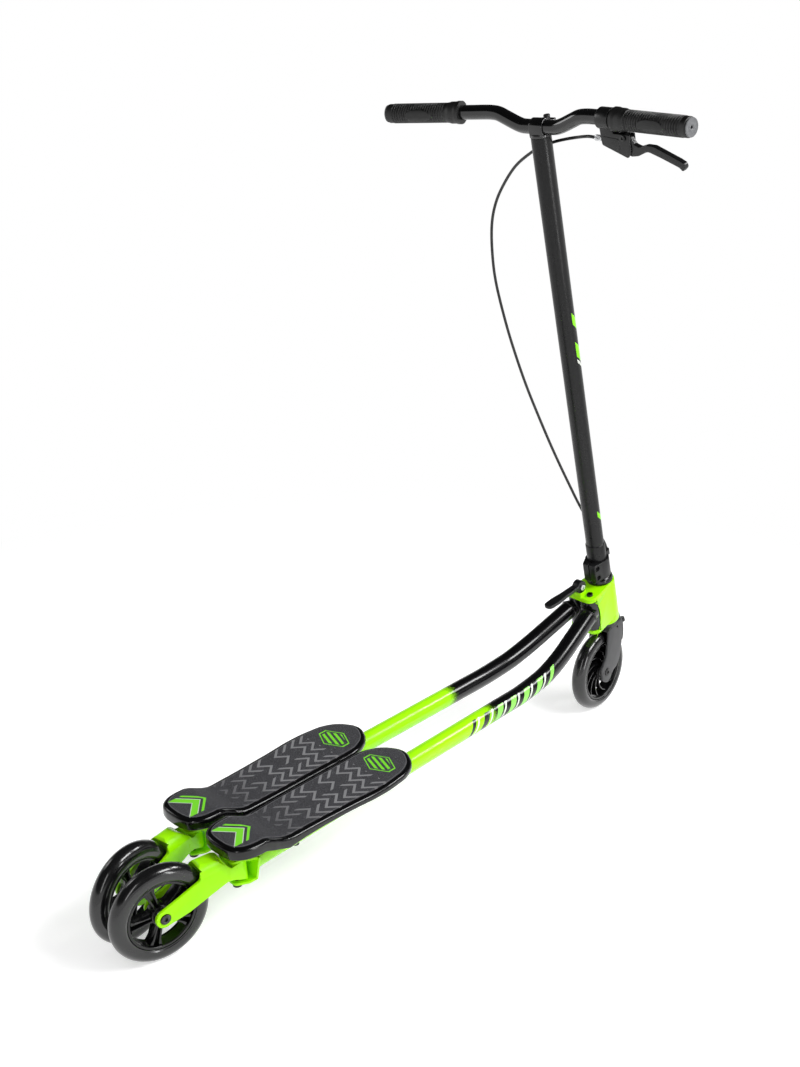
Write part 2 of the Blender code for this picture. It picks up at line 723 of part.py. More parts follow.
def brake_lever_body():
    """Finger lever, in the right grip frame."""
    pivot_x, pivot_z = LEVER_PIVOT
    shape = [(pivot_x - 4.4, pivot_z + 1.5, 3), (pivot_x, pivot_z + 4.4, 4),
             (pivot_x + 10.0, pivot_z + 1.0, 5), (-99.0, -32.5, 4), (-90.0, -35.6, 7),
             (-78.0, -31.6, 9), (-64.0, -31.8, 12), (-45.0, -38.6, 40), (-22.0, -46.8, 25),
             (-12.8, -51.0, 5), (-10.8, -57.0, 4), (-18.5, -65.0, 2.5), (-24.5, -61.5, 5),
             (-52.0, -52.6, 30), (-76.5, -43.4, 14), (-95.0, -51.4, 12), (-107.0, -51.5, 6),
             (pivot_x - 5.0, -41.0, 6), (pivot_x - 5.5, -33.0, 4)]
    body = moved(prism(rounded(shape), -4.5, 4.5, 1.0), FACE)
    return cut(body, rod((pivot_x, -20, pivot_z), (pivot_x, 20, pivot_z), 2.5 + CLEAR))


def cable_route():
    """Route of the brake cable in the steering frame, lever end first."""
    start = grip_matrix(1) @ Vector((-174.5, 0, LEVER_PIVOT[1] - LEVER_WIRE_ARM))
    inwards = grip_matrix(1) @ Vector((-190.0, 0, LEVER_PIVOT[1] - LEVER_WIRE_ARM))
    loop = [(50.0, 17.5, 1076.8), (27.0, 20.5, 1071.8), (4.5, 22.5, 1065.8), (-20.0, 24.0, 1057.0),
            (-44.0, 25.5, 1044.8), (-77.5, 29.0, 1021.8), (-108.0, 32.5, 990.0),
            (-133.0, 35.0, 955.0), (-150.5, 37.5, 915.0), (-162.0, 41.0, 862.0),
            (-166.2, 43.5, 806.0), (-160.8, 46.0, 732.0), (-151.3, 47.0, 671.8),
            (-137.6, 47.0, 611.5), (-118.8, 46.0, 550.8), (-97.2, 44.0, 490.6),
            (-71.8, 41.0, 431.3), (-46.8, 37.5, 381.0), (-21.0, 34.0, 349.0),
            (-6.2, WIRE_AHEAD + 0.3, 331.0), (-0.7, WIRE_AHEAD, 317.0), (0.0, WIRE_AHEAD, 303.0),
            (0.0, WIRE_AHEAD, 285.0), (0.0, WIRE_AHEAD, 245.0), (0.0, WIRE_AHEAD, CABLE_END - 3.3)]
    stretch = (BAR_HEIGHT - CABLE_END) / CABLE_LOOP_HEIGHT
    loop = [(x, y, CABLE_END + (z - CABLE_END) * stretch) for x, y, z in loop]
    return [start, inwards] + loop


def make_cable(carrier):
    """The outer cable as a round curve with closed ends."""
    curve = bpy.data.curves.new("brake_cable", "CURVE")
    curve.dimensions = "3D"
    curve.bevel_depth = CABLE_RADIUS * MM
    curve.bevel_resolution = 2
    curve.use_fill_caps = True
    points = smooth_path(cable_route(), 16.0)
    spline = curve.splines.new("POLY")
    spline.points.add(len(points) - 1)
    for target, point in zip(spline.points, points):
        target.co = (*(point * MM), 1.0)
    curve.materials.append(finish_material("brake_cable", "rubber"))
    thing = bpy.data.objects.new("brake_cable", curve)
    bpy.context.scene.collection.objects.link(thing)
    thing.parent = carrier
    return thing


# Head casting and lock, in the unsteered head frame

def plate_outline(radius, lobe):
    """Top view of a plate: round at the steering axis, two lobes at the leg pins."""
    right = arc((PIN_SIDE, -PIN_BACK), lobe, -90, 8, 5)
    front = arc((0, 0), radius, 12, 168, 10)
    left = arc((-PIN_SIDE, -PIN_BACK), lobe, 172, 270, 5)
    return right + front + left


def head_casting_body():
    """Steering head with two plates that hold the leg pins and a saddle for the lock."""
    upper_plate = HEAD_TOP - PLATE_THICKNESS
    lower_plate = LOWER_PLATE_BOTTOM + PLATE_THICKNESS
    body = prism(plate_outline(HEAD_RADIUS, LOBE_RADIUS), LOWER_PLATE_BOTTOM, HEAD_TOP)
    body = join(body, rod((0, 0, HEAD_BOTTOM), (0, 0, HEAD_TOP), HEAD_RADIUS + 0.6))
    middle = (upper_plate + lower_plate) / 2
    saddle = box((-8.0, -LOCK_BACK - 8.0, HEAD_TOP - 2), (8.0, -LOCK_BACK + 10.0, LOCK_HEIGHT - 8.5))
    body = join(body, saddle)
    hollow = rod((-60, -PIN_BACK - 46.5, middle), (60, -PIN_BACK - 46.5, middle), 52.0)
    between = box((-60, -120, lower_plate), (60, 20, upper_plate))
    tools = [combine(hollow, [between], "INTERSECT")]
    for side in (-1, 1):
        tools.append(rod((side * PIN_SIDE, -PIN_BACK, lower_plate),
                         (side * PIN_SIDE, -PIN_BACK, upper_plate), KNUCKLE_RADIUS + 0.9))
        tools.append(rod((side * PIN_SIDE, -PIN_BACK, LOWER_PLATE_BOTTOM - 10),
                         (side * PIN_SIDE, -PIN_BACK, HEAD_TOP + 10), PIN_RADIUS + CLEAR))
    tools.append(rod((0, 0, HEAD_BOTTOM - 5), (0, 0, HEAD_TOP + 5), STEERER_RADIUS + 1.2))
    for low, high in ((HEAD_BOTTOM - 5, HEAD_BOTTOM + BEARING_SEAT_DEPTH),
                      (HEAD_TOP - BEARING_SEAT_DEPTH, HEAD_TOP + 5)):
        tools.append(rod((0, 0, low), (0, 0, high), BEARING_SEAT_RADIUS + CLEAR))
    tools.append(rod((-20, -LOCK_BACK, LOCK_HEIGHT), (20, -LOCK_BACK, LOCK_HEIGHT),
                     LOCK_HUB_RADIUS + 0.4))
    tools.append(rod((0, -LOCK_BACK, LOWER_PLATE_BOTTOM - 10), (0, -LOCK_BACK, LOCK_HEIGHT),
                     2.2 + CLEAR))
    return cut(body, *tools)


def lock_lever_body():
    """Flat channel lever with two cheeks around the draw bolt."""
    hub = rod((-7.0, 0, 0), (7.0, 0, 0), LOCK_HUB_RADIUS)
    lean = math.degrees(math.atan2(LOCK_RISE, LOCK_LENGTH))
    end = -LOCK_LENGTH
    top = [(-7.0, 0.0, 0), (-7.6, -40.0, 20), (-9.6, -64.0, 12), (-8.6, end, 8),
           (8.6, end, 8), (9.6, -64.0, 12), (7.6, -40.0, 20), (7.0, 0.0, 0)]
    arm = prism(rounded(top), -1.0, 5.0)
    hollow = [(-4.6, -14.0, 2), (-5.2, -40.0, 10), (-7.0, -64.0, 6), (-6.0, end + 7.0, 5),
              (6.0, end + 7.0, 5), (7.0, -64.0, 6), (5.2, -40.0, 10), (4.6, -14.0, 2)]
    arm = cut(arm, prism(rounded(hollow), -5.0, 2.2))
    body = join(hub, moved(arm, turn(-lean, "X")))
    axle_hole = rod((-20, 0, 0), (20, 0, 0), 3.0 + CLEAR)
    bolt_room = box((-2.9, -8.6, -14), (2.9, 14, 7.0))
    return cut(body, axle_hole, bolt_room)


# Legs, decks and rear casters; the right side is built and the left is its mirror image

def caster_matrix():
    """Frame on the right caster bolt: z up the bolt, y along the leg."""
    place = Matrix.Translation((CASTER_SIDE, CASTER_AHEAD - WHEELBASE / 2, CASTER_HEIGHT))
    return place @ turn(LEG_SLOPE, "X")


def yoke_axle_height():
    """Height of the rear axle in the caster frame, so that the wheel stands on the ground."""
    lean = math.radians(LEG_SLOPE)
    back = CASTER_TRAIL * math.cos(math.radians(YOKE_AT_REST))
    return (WHEEL_RADIUS - CASTER_HEIGHT + back * math.sin(lean)) / math.cos(lean)


def knuckle_matrix():
    return head_matrix() @ shift(PIN_SIDE, -PIN_BACK, 0)


def leg_path():
    """Centre line of the right leg tube, rear end first, in the ground frame."""
    height = (HEAD_TOP + LOWER_PLATE_BOTTOM) / 2 + NECK_RISE
    joint = head_matrix() @ Vector((PIN_SIDE + NECK_SIDE, -PIN_BACK - NECK_BACK, height))
    front = [joint + Vector((LEG_BEND_SPLAY * side, -LEG_BEND_LENGTH * back, -LEG_BEND_DROP * down))
             for side, back, down in LEG_BENDS] + [joint]
    rear = caster_matrix() @ Vector((0, BRACKET_FRONT + BRACKET_WALL - 1, 0))
    return [rear] + front


def bracket_body():
    """Folded bracket that holds the caster bolt, in the caster frame."""
    inner = YOKE_HALF_HEIGHT + CLEAR
    outer = inner + BRACKET_WALL
    front = BRACKET_FRONT
    low_half, high_half = BRACKET_HALF_WIDTHS
    flange_low = rounded([(low_half, front + 4, 0), (low_half - 0.5, 9, 3), (8, -10, 8), (-8, -10, 8),
                          (0.5 - low_half, 9, 3), (-low_half, front + 4, 0)])
    flange_high = rounded([(high_half - 1, front + 4, 0), (16, 0, 12), (13, -14, 12), (-13, -14, 12),
                           (-16, 0, 12), (1 - high_half, front + 4, 0)])
    low = prism(flange_low, -outer, -inner)
    high = prism(flange_high, inner, outer)
    wall = [(low_half, -outer), (high_half, outer), (-high_half, outer), (-low_half, -outer)]
    wall_body = moved(prism(wall, -front - 4, -front), FACE)
    bolt_hole = rod((0, 0, -40), (0, 0, 40), CASTER_BOLT_RADIUS + CLEAR)
    vent = rod((8.6, front - 5, 3.2), (8.6, front + 12, 3.2), 2.4)
    return join(wall_body, low, high), bolt_hole, vent


def leg_body():
    """Knuckle, curved tube and caster bracket in one weldment, in the ground frame."""
    path = leg_path()
    tube = pipe(path, TUBE_RADIUS)
    upper = HEAD_TOP - PLATE_THICKNESS - 0.4
    lower = LOWER_PLATE_BOTTOM + PLATE_THICKNESS + 0.4
    place = knuckle_matrix()
    barrel = moved(rod((0, 0, lower), (0, 0, upper), KNUCKLE_RADIUS), place)
    pin_side = place @ Vector((0, 0, (upper + lower) / 2 + NECK_RISE - 2))
    reach = (path[-1] - pin_side).length
    neck = lathe([(0, 0), (KNUCKLE_RADIUS - CLEAR, 0), (TUBE_RADIUS, reach), (0, reach)])
    neck = moved(neck, aim(pin_side, path[-1]))
    bracket, bolt_hole, vent = bracket_body()
    caster = caster_matrix()
    body = join(tube, neck)
    body = join(body, barrel)
    body = join(body, moved(bracket, caster))
    hollow = pipe([path[0].lerp(path[1], 0.02)] + path[1:-2] + [path[-2].lerp(path[-1], 0.5)],
                  TUBE_RADIUS - TUBE_WALL)
    body = cut(body, hollow)
    tools = [moved(rod((0, 0, lower - 10), (0, 0, upper + 10), PIN_RADIUS + CLEAR), place),
             moved(bolt_hole, caster), moved(vent, caster)]
    for matrix in deck_bolt_matrices():
        tools.append(moved(rod((0, 0, -30), (0, 0, 30), 3.0 + CLEAR), matrix))
    return cut(body, *tools)


def leg_point(ahead):
    """Point and slope frame on the leg centre line at a distance ahead of the rear axle."""
    target = ahead - WHEELBASE / 2
    path = leg_path()
    for start, end in zip(path, path[1:]):
        if start.y <= target <= end.y:
            return start.lerp(end, (target - start.y) / (end.y - start.y))
    return path[0]


def deck_bolt_matrices():
    return [Matrix.Translation(leg_point(ahead)) @ turn(LEG_SLOPE, "X") for ahead in DECK_BOLT_AHEAD]


DECK_CENTRE = ((93, 51.3), (142, 51.3), (158, 52.5), (170, 52.0), (185, 49.9), (220, 49.6),
               (250, 50.0), (280, 50.8), (310, 51.8), (340, 53.2), (370, 53.3), (395, 51.9), (455, 51.9))
DECK_HALF_WIDTH = ((94.5, 0), (94.8, 10), (95.6, 16), (97.6, 23), (101, 28.5), (106, 32.5),
                   (112, 35.4), (120, 37.3), (130, 38.1), (142, 38.0), (155, 37.4), (168, 37.3),
                   (185, 39.1), (200, 39.9), (220, 40.5), (250, 41.3), (280, 42.1), (310, 43.1),
                   (340, 44.5), (370, 44.6), (395, 43.2), (410, 40.4), (425, 33.4), (435, 24.7),
                   (441, 15.6), (445, 7.6), (446.4, 0))
DECK_TOP = ((90, 154.0), (140, 154.0), (149, 151.6), (161, 146.0), (172, 141.4), (182, 138.7),
            (192, 138.3), (205, 139.0), (455, 151.4))
DECK_BOTTOM = ((90, 137.4), (142, 136.4), (162, 129.4), (184, 122.2), (208, 126.5), (245, 130.5),
               (285, 133.6), (455, 141.8))


def along(table, ahead):
    """Read a table of (distance ahead of the rear axle, value)."""
    if ahead <= table[0][0]:
        return table[0][1]
    for (x0, y0), (x1, y1) in zip(table, table[1:]):
        if ahead <= x1:
            return y0 + (y1 - y0) * (ahead - x0) / (x1 - x0)
    return table[-1][1]


def deck_rows(inset):
    """Left and right points of the deck outline, tail to front, moved inwards by inset."""
    outline = [(width, ahead) for ahead, width in DECK_HALF_WIDTH]
    outline += [(-width, ahead) for ahead, width in DECK_HALF_WIDTH[-2:0:-1]]
    rows = offset_outline(outline, inset)[:len(DECK_HALF_WIDTH)]
    rows[0] = (0.0, rows[0][1])
    rows[-1] = (0.0, rows[-1][1])
    return rows


def deck_layer(inset, height_of):
    """One ring of the deck: right side tail to front, then left side back."""
    rows = deck_rows(inset)
    right = []
    left = []
    for half, ahead in rows:
        centre = along(DECK_CENTRE, ahead)
        height = height_of(ahead)
        right.append(Vector((centre + half, ahead - WHEELBASE / 2, height)))
        left.append(Vector((centre - half, ahead - WHEELBASE / 2, height)))
    return right, left


def ladder(layers):
    """Close a stack of deck layers with strips between left and right points."""
    body = bmesh.new()
    made = []
    for right, left in layers:
        verts_right = [body.verts.new(point) for point in right]
        verts_left = [verts_right[0]] + [body.verts.new(point) for point in left[1:-1]]
        verts_left.append(verts_right[-1])
        made.append((verts_right, verts_left))
    for (right0, left0), (right1, left1) in zip(made, made[1:]):
        for low, high in ((right0, right1), (left0, left1)):
            for i in range(len(low) - 1):
                body.faces.new([low[i], low[i + 1], high[i + 1], high[i]])
    for right, left in (made[0], made[-1]):
        for i in range(len(right) - 1):
            corners = [right[i], right[i + 1], left[i + 1], left[i]]
            unique = []
            for corner in corners:
                if corner not in unique:
                    unique.append(corner)
            body.faces.new(unique)
    bmesh.ops.recalc_face_normals(body, faces=body.faces)
    return body


def deck_body():
    """Foot deck: a ribbed tray that sits on the leg tube, in the ground frame."""
    def top(ahead):
        return along(DECK_TOP, ahead)

    def bottom(ahead):
        return along(DECK_BOTTOM, ahead)

    layers = [deck_layer(-DECK_RIM, bottom), deck_layer(-DECK_RIM, lambda y: top(y) - 4.0),
              deck_layer(-DECK_RIM + 1.2, lambda y: top(y) - 1.2), deck_layer(-DECK_RIM + 4.0, top)]
    shell = ladder(layers)
    inside = ladder([deck_layer(-DECK_RIM + DECK_WALL, lambda y: bottom(y) - 8.0),
                     deck_layer(-DECK_RIM + DECK_WALL + 0.6, lambda y: top(y) - 4.2)])
    ribs = []
    for ahead, thickness in ((165, 4), (DECK_BOLT_AHEAD[0], 14), (315, 4), (DECK_BOLT_AHEAD[1], 14)):
        middle = ahead - WHEELBASE / 2
        ribs.append(box((-20, middle - thickness / 2, 80), (140, middle + thickness / 2, 170)))
    straight = [leg_point(ahead) for ahead in (130, 480)]
    keel = []
    for ahead in KEEL_ENDS:
        keel.append((ahead - WHEELBASE / 2, leg_point(ahead).z + 3.0))
    for ahead in KEEL_ENDS[::-1]:
        keel.append((ahead - WHEELBASE / 2, top(ahead) - 2.0))
    keel = moved(prism(keel, -KEEL_HALF_WIDTH, KEEL_HALF_WIDTH), shift(CASTER_SIDE - 1.6, 0, 0) @ SIDE)
    body = join(cut(shell, cut(inside, *ribs)), keel)
    direction = (straight[1] - straight[0]).normalized()
    start = straight[0] - direction * 80
    tools = [pipe([start, straight[1] + direction * 20], TUBE_RADIUS + CLEAR)]
    trench = box((straight[0].x - TUBE_RADIUS - 1, 85 - WHEELBASE / 2, 90),
                 (straight[0].x + TUBE_RADIUS + 1, 160 - WHEELBASE / 2, 128))
    tools.append(trench)
    for matrix in deck_bolt_matrices():
        tools.append(moved(rod((0, 0, 0), (0, 0, TUBE_RADIUS + 9), 3.0 + CLEAR), matrix))
    return cut(body, *tools)


def grip_tape_body():
    """Abrasive sheet on the deck, in the ground frame."""
    def lift(amount):
        return lambda ahead: along(DECK_TOP, ahead) + amount
    return ladder([deck_layer(0.2, lift(CLEAR)), deck_layer(0.2, lift(CLEAR + TAPE_THICKNESS))])


def yoke_body():
    """Rear wheel yoke in its own frame: origin on the caster bolt, y along the yoke."""
    axle_y = -CASTER_TRAIL
    axle_z = yoke_axle_height()
    half = YOKE_HALF_HEIGHT
    outline = arc((axle_y, axle_z), 14.0, -68, -248, 7)
    upper = [(18.7, 21.2), (57.6, 35.6), (60.6, 49.0), (64.5, 52.6), (73.4, 53.6), (87.3, 51.0),
             (100.7, 40.5), (107.0, half - axle_z)]
    lower = [(106.0, 12.6), (98.0, 13.2), (36.4, -7.2)]
    outline += [(axle_y + y, axle_z + z) for y, z in upper]
    outline += [(13.0, half), (13.0, -half)]
    outline += [(axle_y + y, axle_z + z) for y, z in lower]
    side = moved(prism(outline, -YOKE_HALF_WIDTH, YOKE_HALF_WIDTH), SIDE)
    top_view = [(-YOKE_HALF_WIDTH, axle_y - 20, 0), (YOKE_HALF_WIDTH, axle_y - 20, 0),
                (YOKE_HALF_WIDTH, -24, 12), (14.5, 4, 8), (10.5, 14.5, 8), (-10.5, 14.5, 8),
                (-14.5, 4, 8), (-YOKE_HALF_WIDTH, -24, 12)]
    plan = prism(rounded(top_view), -60, 60)
    section = [(-YOKE_HALF_WIDTH - 1, -60), (YOKE_HALF_WIDTH + 1, -60)]
    for angle in range(0, 181, 15):
        across = (YOKE_HALF_WIDTH + 1) * math.cos(math.radians(angle))
        section.append((across, axle_z + 30.0 + 23.8 * math.sin(math.radians(angle))))
    cross = moved(prism(section, -40, 160), FACE)
    body = combine(side, [plan], "INTERSECT")
    body = combine(body, [cross], "INTERSECT")
    gap = rod((-YOKE_HALF_GAP, axle_y, axle_z), (YOKE_HALF_GAP, axle_y, axle_z),
              WHEEL_RADIUS + 3.4)
    tools = [gap, rod((-40, axle_y, axle_z), (40, axle_y, axle_z), AXLE_RADIUS + CLEAR),
             rod((YOKE_HALF_WIDTH - 2.4, axle_y, axle_z), (40, axle_y, axle_z), 8.0),
             rod((0, 0, -60), (0, 0, 60), CASTER_BOLT_RADIUS + CLEAR)]
    return cut(body, *tools)


def make_side(name, side, legs_carrier, yoke_carrier, wheel_carrier):
    """All pieces of one leg; side is 1 for right and -1 for left."""
    def sided(body):
        return body if side > 0 else mirrored(body)

    leg_place = legs_carrier.matrix_world.copy()
    leg_place.translation = leg_place.translation / MM
    to_leg = leg_place.inverted()
    caster = caster_matrix()
    part("leg_" + name, moved(sided(leg_body()), to_leg), "green_paint", legs_carrier)
    part("deck_" + name, moved(sided(deck_body()), to_leg), "black_plastic", legs_carrier)
    part("grip_tape_" + name, moved(sided(grip_tape_body()), to_leg), "grip_tape", legs_carrier)
    outer = YOKE_HALF_HEIGHT + CLEAR + BRACKET_WALL
    pin = bolt((0, 0, outer + CLEAR), (0, 0, -outer - 6.0), CASTER_BOLT_RADIUS, 7.0, 4.6)
    part("caster_bolt_" + name, moved(sided(moved(pin, caster)), to_leg), "black_steel", legs_carrier)
    nut = ring_tube(-outer - 7.4, -outer - CLEAR, 7.4, CASTER_BOLT_RADIUS + CLEAR)
    part("caster_nut_" + name, moved(sided(moved(nut, caster)), to_leg), "rubber", legs_carrier)
    for label, matrix in zip(("rear", "front"), deck_bolt_matrices()):
        screw = bolt((0, 0, -TUBE_RADIUS - 1.0), (0, 0, TUBE_RADIUS + 8.0), 3.0, 5.6, 3.6)
        part("deck_bolt_" + label + "_" + name, moved(sided(moved(screw, matrix)), to_leg),
             "black_steel", legs_carrier)

    part("yoke_" + name, sided(yoke_body()), "green_paint", yoke_carrier)
    axle_y = -CASTER_TRAIL
    axle_z = yoke_axle_height()
    axle = bolt((YOKE_HALF_WIDTH - 2.1, axle_y, axle_z), (-YOKE_HALF_WIDTH, axle_y, axle_z),
                AXLE_RADIUS, 7.4, 3.6)
    part("rear_axle_bolt_" + name, sided(axle), "black_steel", yoke_carrier)

    half = REAR_TYRE_WIDTH / 2 - 2.0
    part("rear_tyre_" + name, tyre_body(REAR_TYRE_WIDTH, REAR_RIM_RADIUS), "tyre", wheel_carrier)
    part("rear_hub_" + name, hub_body(REAR_RIM_RADIUS, half, rear_spokes(REAR_RIM_RADIUS - RIM_WALL, half)),
         "black_plastic", wheel_carrier)
    part("rear_wheel_bearing_" + name, wheel_bearing_body(YOKE_HALF_GAP - CLEAR), "steel", wheel_carrier)


def make_head(head):
    """The casting that holds everything, with its bearings, leg pins and lock."""
    part("head_casting", head_casting_body(), "green_paint", head)
    race = (BEARING_SEAT_RADIUS, STEERER_RADIUS + CLEAR)
    seat = BEARING_SEAT_DEPTH - CLEAR
    part("headset_bearing_lower", ring_tube(HEAD_BOTTOM, HEAD_BOTTOM + seat, *race), "steel", head)
    part("headset_bearing_upper", ring_tube(HEAD_TOP - seat, HEAD_TOP, *race), "steel", head)
    for name, side in (("left", -1), ("right", 1)):
        pin = bolt((side * PIN_SIDE, -PIN_BACK, HEAD_TOP + CLEAR),
                   (side * PIN_SIDE, -PIN_BACK, LOWER_PLATE_BOTTOM), PIN_RADIUS, 5.6, 3.6)
        part("leg_pin_bolt_" + name, pin, "black_steel", head)
    draw = rod((0, -LOCK_BACK, LOWER_PLATE_BOTTOM - 7), (0, -LOCK_BACK, LOCK_HEIGHT - 3.0 - CLEAR), 2.2)
    part("lock_draw_bolt", draw, "steel", head)
    nut = ring_tube(LOWER_PLATE_BOTTOM - 5.5, LOWER_PLATE_BOTTOM - CLEAR, 5.2, 2.2 + CLEAR)
    part("lock_draw_nut", moved(nut, shift(0, -LOCK_BACK, 0)), "steel", head)
    axle = bolt((7.4, -LOCK_BACK, LOCK_HEIGHT), (-9.0, -LOCK_BACK, LOCK_HEIGHT), 3.0, 5.6, 3.2)
    part("lock_lever_axle", axle, "aluminium", head)


def make_steering(steer):
    """Everything that turns with the handlebar."""
    part("front_fork", fork_body(), "grey_paint", steer)
    ahead, height = front_axle_local()
    axle = bolt((19.7, ahead, height), (-21.2, ahead, height), AXLE_RADIUS, 6.8, 3.0)
    part("front_axle_bolt", axle, "black_steel", steer)
    cap = ring_tube(HEAD_TOP + CLEAR, CAP_TOP, 24.0, STEERER_RADIUS + CLEAR, 1.5)
    part("headset_cap", cap, "black_plastic", steer)
    part("column_clamp", column_clamp_body(), "black_paint", steer)
    for name, level in zip(("upper", "lower"), clamp_bolt_heights()):
        screw = bolt((9.7 + CLEAR, -22.5, level), (-12.0, -22.5, level), 2.5, 4.6, 2.6)
        part("clamp_bolt_" + name, screw, "black_steel", steer)
    part("steering_column", column_body(), "satin_black_paint", steer)
    part("stem_clamp", stem_clamp_body(), "black_paint", steer)
    stem = bolt((0, STEM_BOLT_AHEAD, BAR_HEIGHT + 5.5 + CLEAR), (0, STEM_BOLT_AHEAD, BAR_HEIGHT - 5.0),
                3.0, 5.0, 6.0)
    part("stem_bolt", stem, "black_steel", steer)
    part("handlebar", pipe(bar_path(), BAR_RADIUS, BAR_RADIUS - BAR_WALL), "black_paint", steer)
    for name, side in (("left", -1), ("right", 1)):
        grip, plug = grip_body(), bar_plug_body()
        if side < 0:
            grip, plug = mirrored(grip), mirrored(plug)
        part("grip_" + name, grip, "rubber", steer, grip_matrix(side))
        part("bar_plug_" + name, plug, "light_plastic", steer, grip_matrix(side))


def make_brake(steer, lever_carrier, arm_carrier, wire_carrier):
    """The hand brake from the lever down to the pad."""
    place = grip_matrix(1)
    part("brake_lever_bracket", lever_bracket_body(), "black_plastic", steer, place)
    pivot_x, pivot_z = LEVER_PIVOT
    screw = bolt((pivot_x, -7.2 - CLEAR, pivot_z), (pivot_x, 7.0, pivot_z), 2.5, 4.6, 2.2)
    part("lever_pivot_bolt", screw, "black_steel", steer, place)
    wire_line = pivot_z - LEVER_WIRE_ARM
    sleeve = lathe([(1.2, 0), (4.2, 0), (4.2, 14), (2.9, 14), (2.9, 22), (1.2, 22)])
    sleeve = moved(sleeve, aim((-174.2, 0, wire_line), (-150, 0, wire_line)))
    part("cable_adjuster", sleeve, "aluminium", steer, place)
    make_cable(steer)
    part("brake_bracket", brake_bracket_body(), "black_paint", steer)
    pin = bolt((9.3, *BRAKE_PIVOT), (-9.3, *BRAKE_PIVOT), 2.0, 3.4, 1.6)
    part("brake_arm_pin", pin, "steel", steer)
    lever_shift = shift(-pivot_x, 0, -pivot_z)
    part("brake_lever", brake_lever_body(), "black_plastic", lever_carrier, lever_shift)
    arm_shift = shift(0, -BRAKE_PIVOT[0], -BRAKE_PIVOT[1])
    part("brake_arm", brake_arm_body(), "black_paint", arm_carrier, arm_shift)
    part("brake_pad", brake_pad_body(), "rubber", arm_carrier, arm_shift)
    part("brake_wire", brake_wire_body(), "steel", wire_carrier, shift(0, -WIRE_AHEAD, -CABLE_END))


def make_front_wheel(carrier):
    half = FRONT_TYRE_WIDTH / 2 - 2.0
    part("front_tyre", tyre_body(FRONT_TYRE_WIDTH, FRONT_RIM_RADIUS), "tyre", carrier)
    part("front_hub", hub_body(FRONT_RIM_RADIUS, half, front_spokes(FRONT_RIM_RADIUS - RIM_WALL, half)),
         "black_plastic", carrier)
    part("front_wheel_bearing", wheel_bearing_body(16.7 - CLEAR), "steel", carrier)


def main():
    clear_scene()
    head = empty("head_frame", head_matrix())
    steer = empty("steering_axis", turn(STEER_AT_REST, "Z"), head)
    ahead, height = front_axle_local()
    front_wheel = empty("front_axle_point", shift(0, ahead, height) @ turn(-RAKE, "X"), steer)
    place = grip_matrix(1) @ shift(LEVER_PIVOT[0], 0, LEVER_PIVOT[1])
    lever_point = empty("brake_lever_point", place, steer)
    arm_point = empty("brake_arm_point", shift(0, *BRAKE_PIVOT), steer)
    wire_point = empty("brake_wire_point", shift(0, WIRE_AHEAD, CABLE_END), steer)
    lock_point = empty("lock_lever_point", shift(0, -LOCK_BACK, LOCK_HEIGHT), head)
    make_head(head)
    part("lock_lever", lock_lever_body(), "black_plastic", lock_point)
    make_steering(steer)
    make_brake(steer, lever_point, arm_point, wire_point)
    make_front_wheel(front_wheel)
    for name, side in (("left", -1), ("right", 1)):
        hinge = empty("leg_hinge_" + name, head_matrix() @ shift(side * PIN_SIDE, -PIN_BACK, 0))
        caster = caster_matrix()
        caster.translation.x *= side
        bpy.context.view_layer.update()
        yoke = empty("caster_axis_" + name, caster @ turn(-side * YOKE_AT_REST, "Z"))
        wheel = empty("rear_axle_point_" + name, shift(0, -CASTER_TRAIL, yoke_axle_height()), yoke)
        make_side(name, side, hinge, yoke, wheel)
    bpy.context.view_layer.update()


main()
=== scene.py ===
"""Carving scooter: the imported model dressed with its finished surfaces, materials, light and camera.

Sizes are millimetres, turned into metres when a piece is made. The ground is z = 0, +Y is forward
and +X is the rider's right. The steering frame has z along the steering axis and y square to it.
"""
import math

import bmesh
import bpy
import numpy as np
from mathutils import Matrix, Vector


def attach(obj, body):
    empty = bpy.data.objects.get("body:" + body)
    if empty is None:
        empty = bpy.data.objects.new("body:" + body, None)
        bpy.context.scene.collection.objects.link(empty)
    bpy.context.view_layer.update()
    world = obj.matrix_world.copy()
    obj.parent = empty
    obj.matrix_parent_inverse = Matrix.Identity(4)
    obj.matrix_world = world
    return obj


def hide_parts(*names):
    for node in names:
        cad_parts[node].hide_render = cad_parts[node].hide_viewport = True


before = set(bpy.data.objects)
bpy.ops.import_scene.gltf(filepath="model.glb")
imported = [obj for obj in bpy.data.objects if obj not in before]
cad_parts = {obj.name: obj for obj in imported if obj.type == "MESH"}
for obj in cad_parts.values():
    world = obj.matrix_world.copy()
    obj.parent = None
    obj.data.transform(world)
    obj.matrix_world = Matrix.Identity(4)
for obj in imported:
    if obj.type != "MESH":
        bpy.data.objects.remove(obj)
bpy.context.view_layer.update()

MM = 0.001
CLEAR = 0.3
MERGE = 0.02 * MM
BEVEL_ANGLE = math.radians(32)
SHARP_ANGLE = math.radians(38)

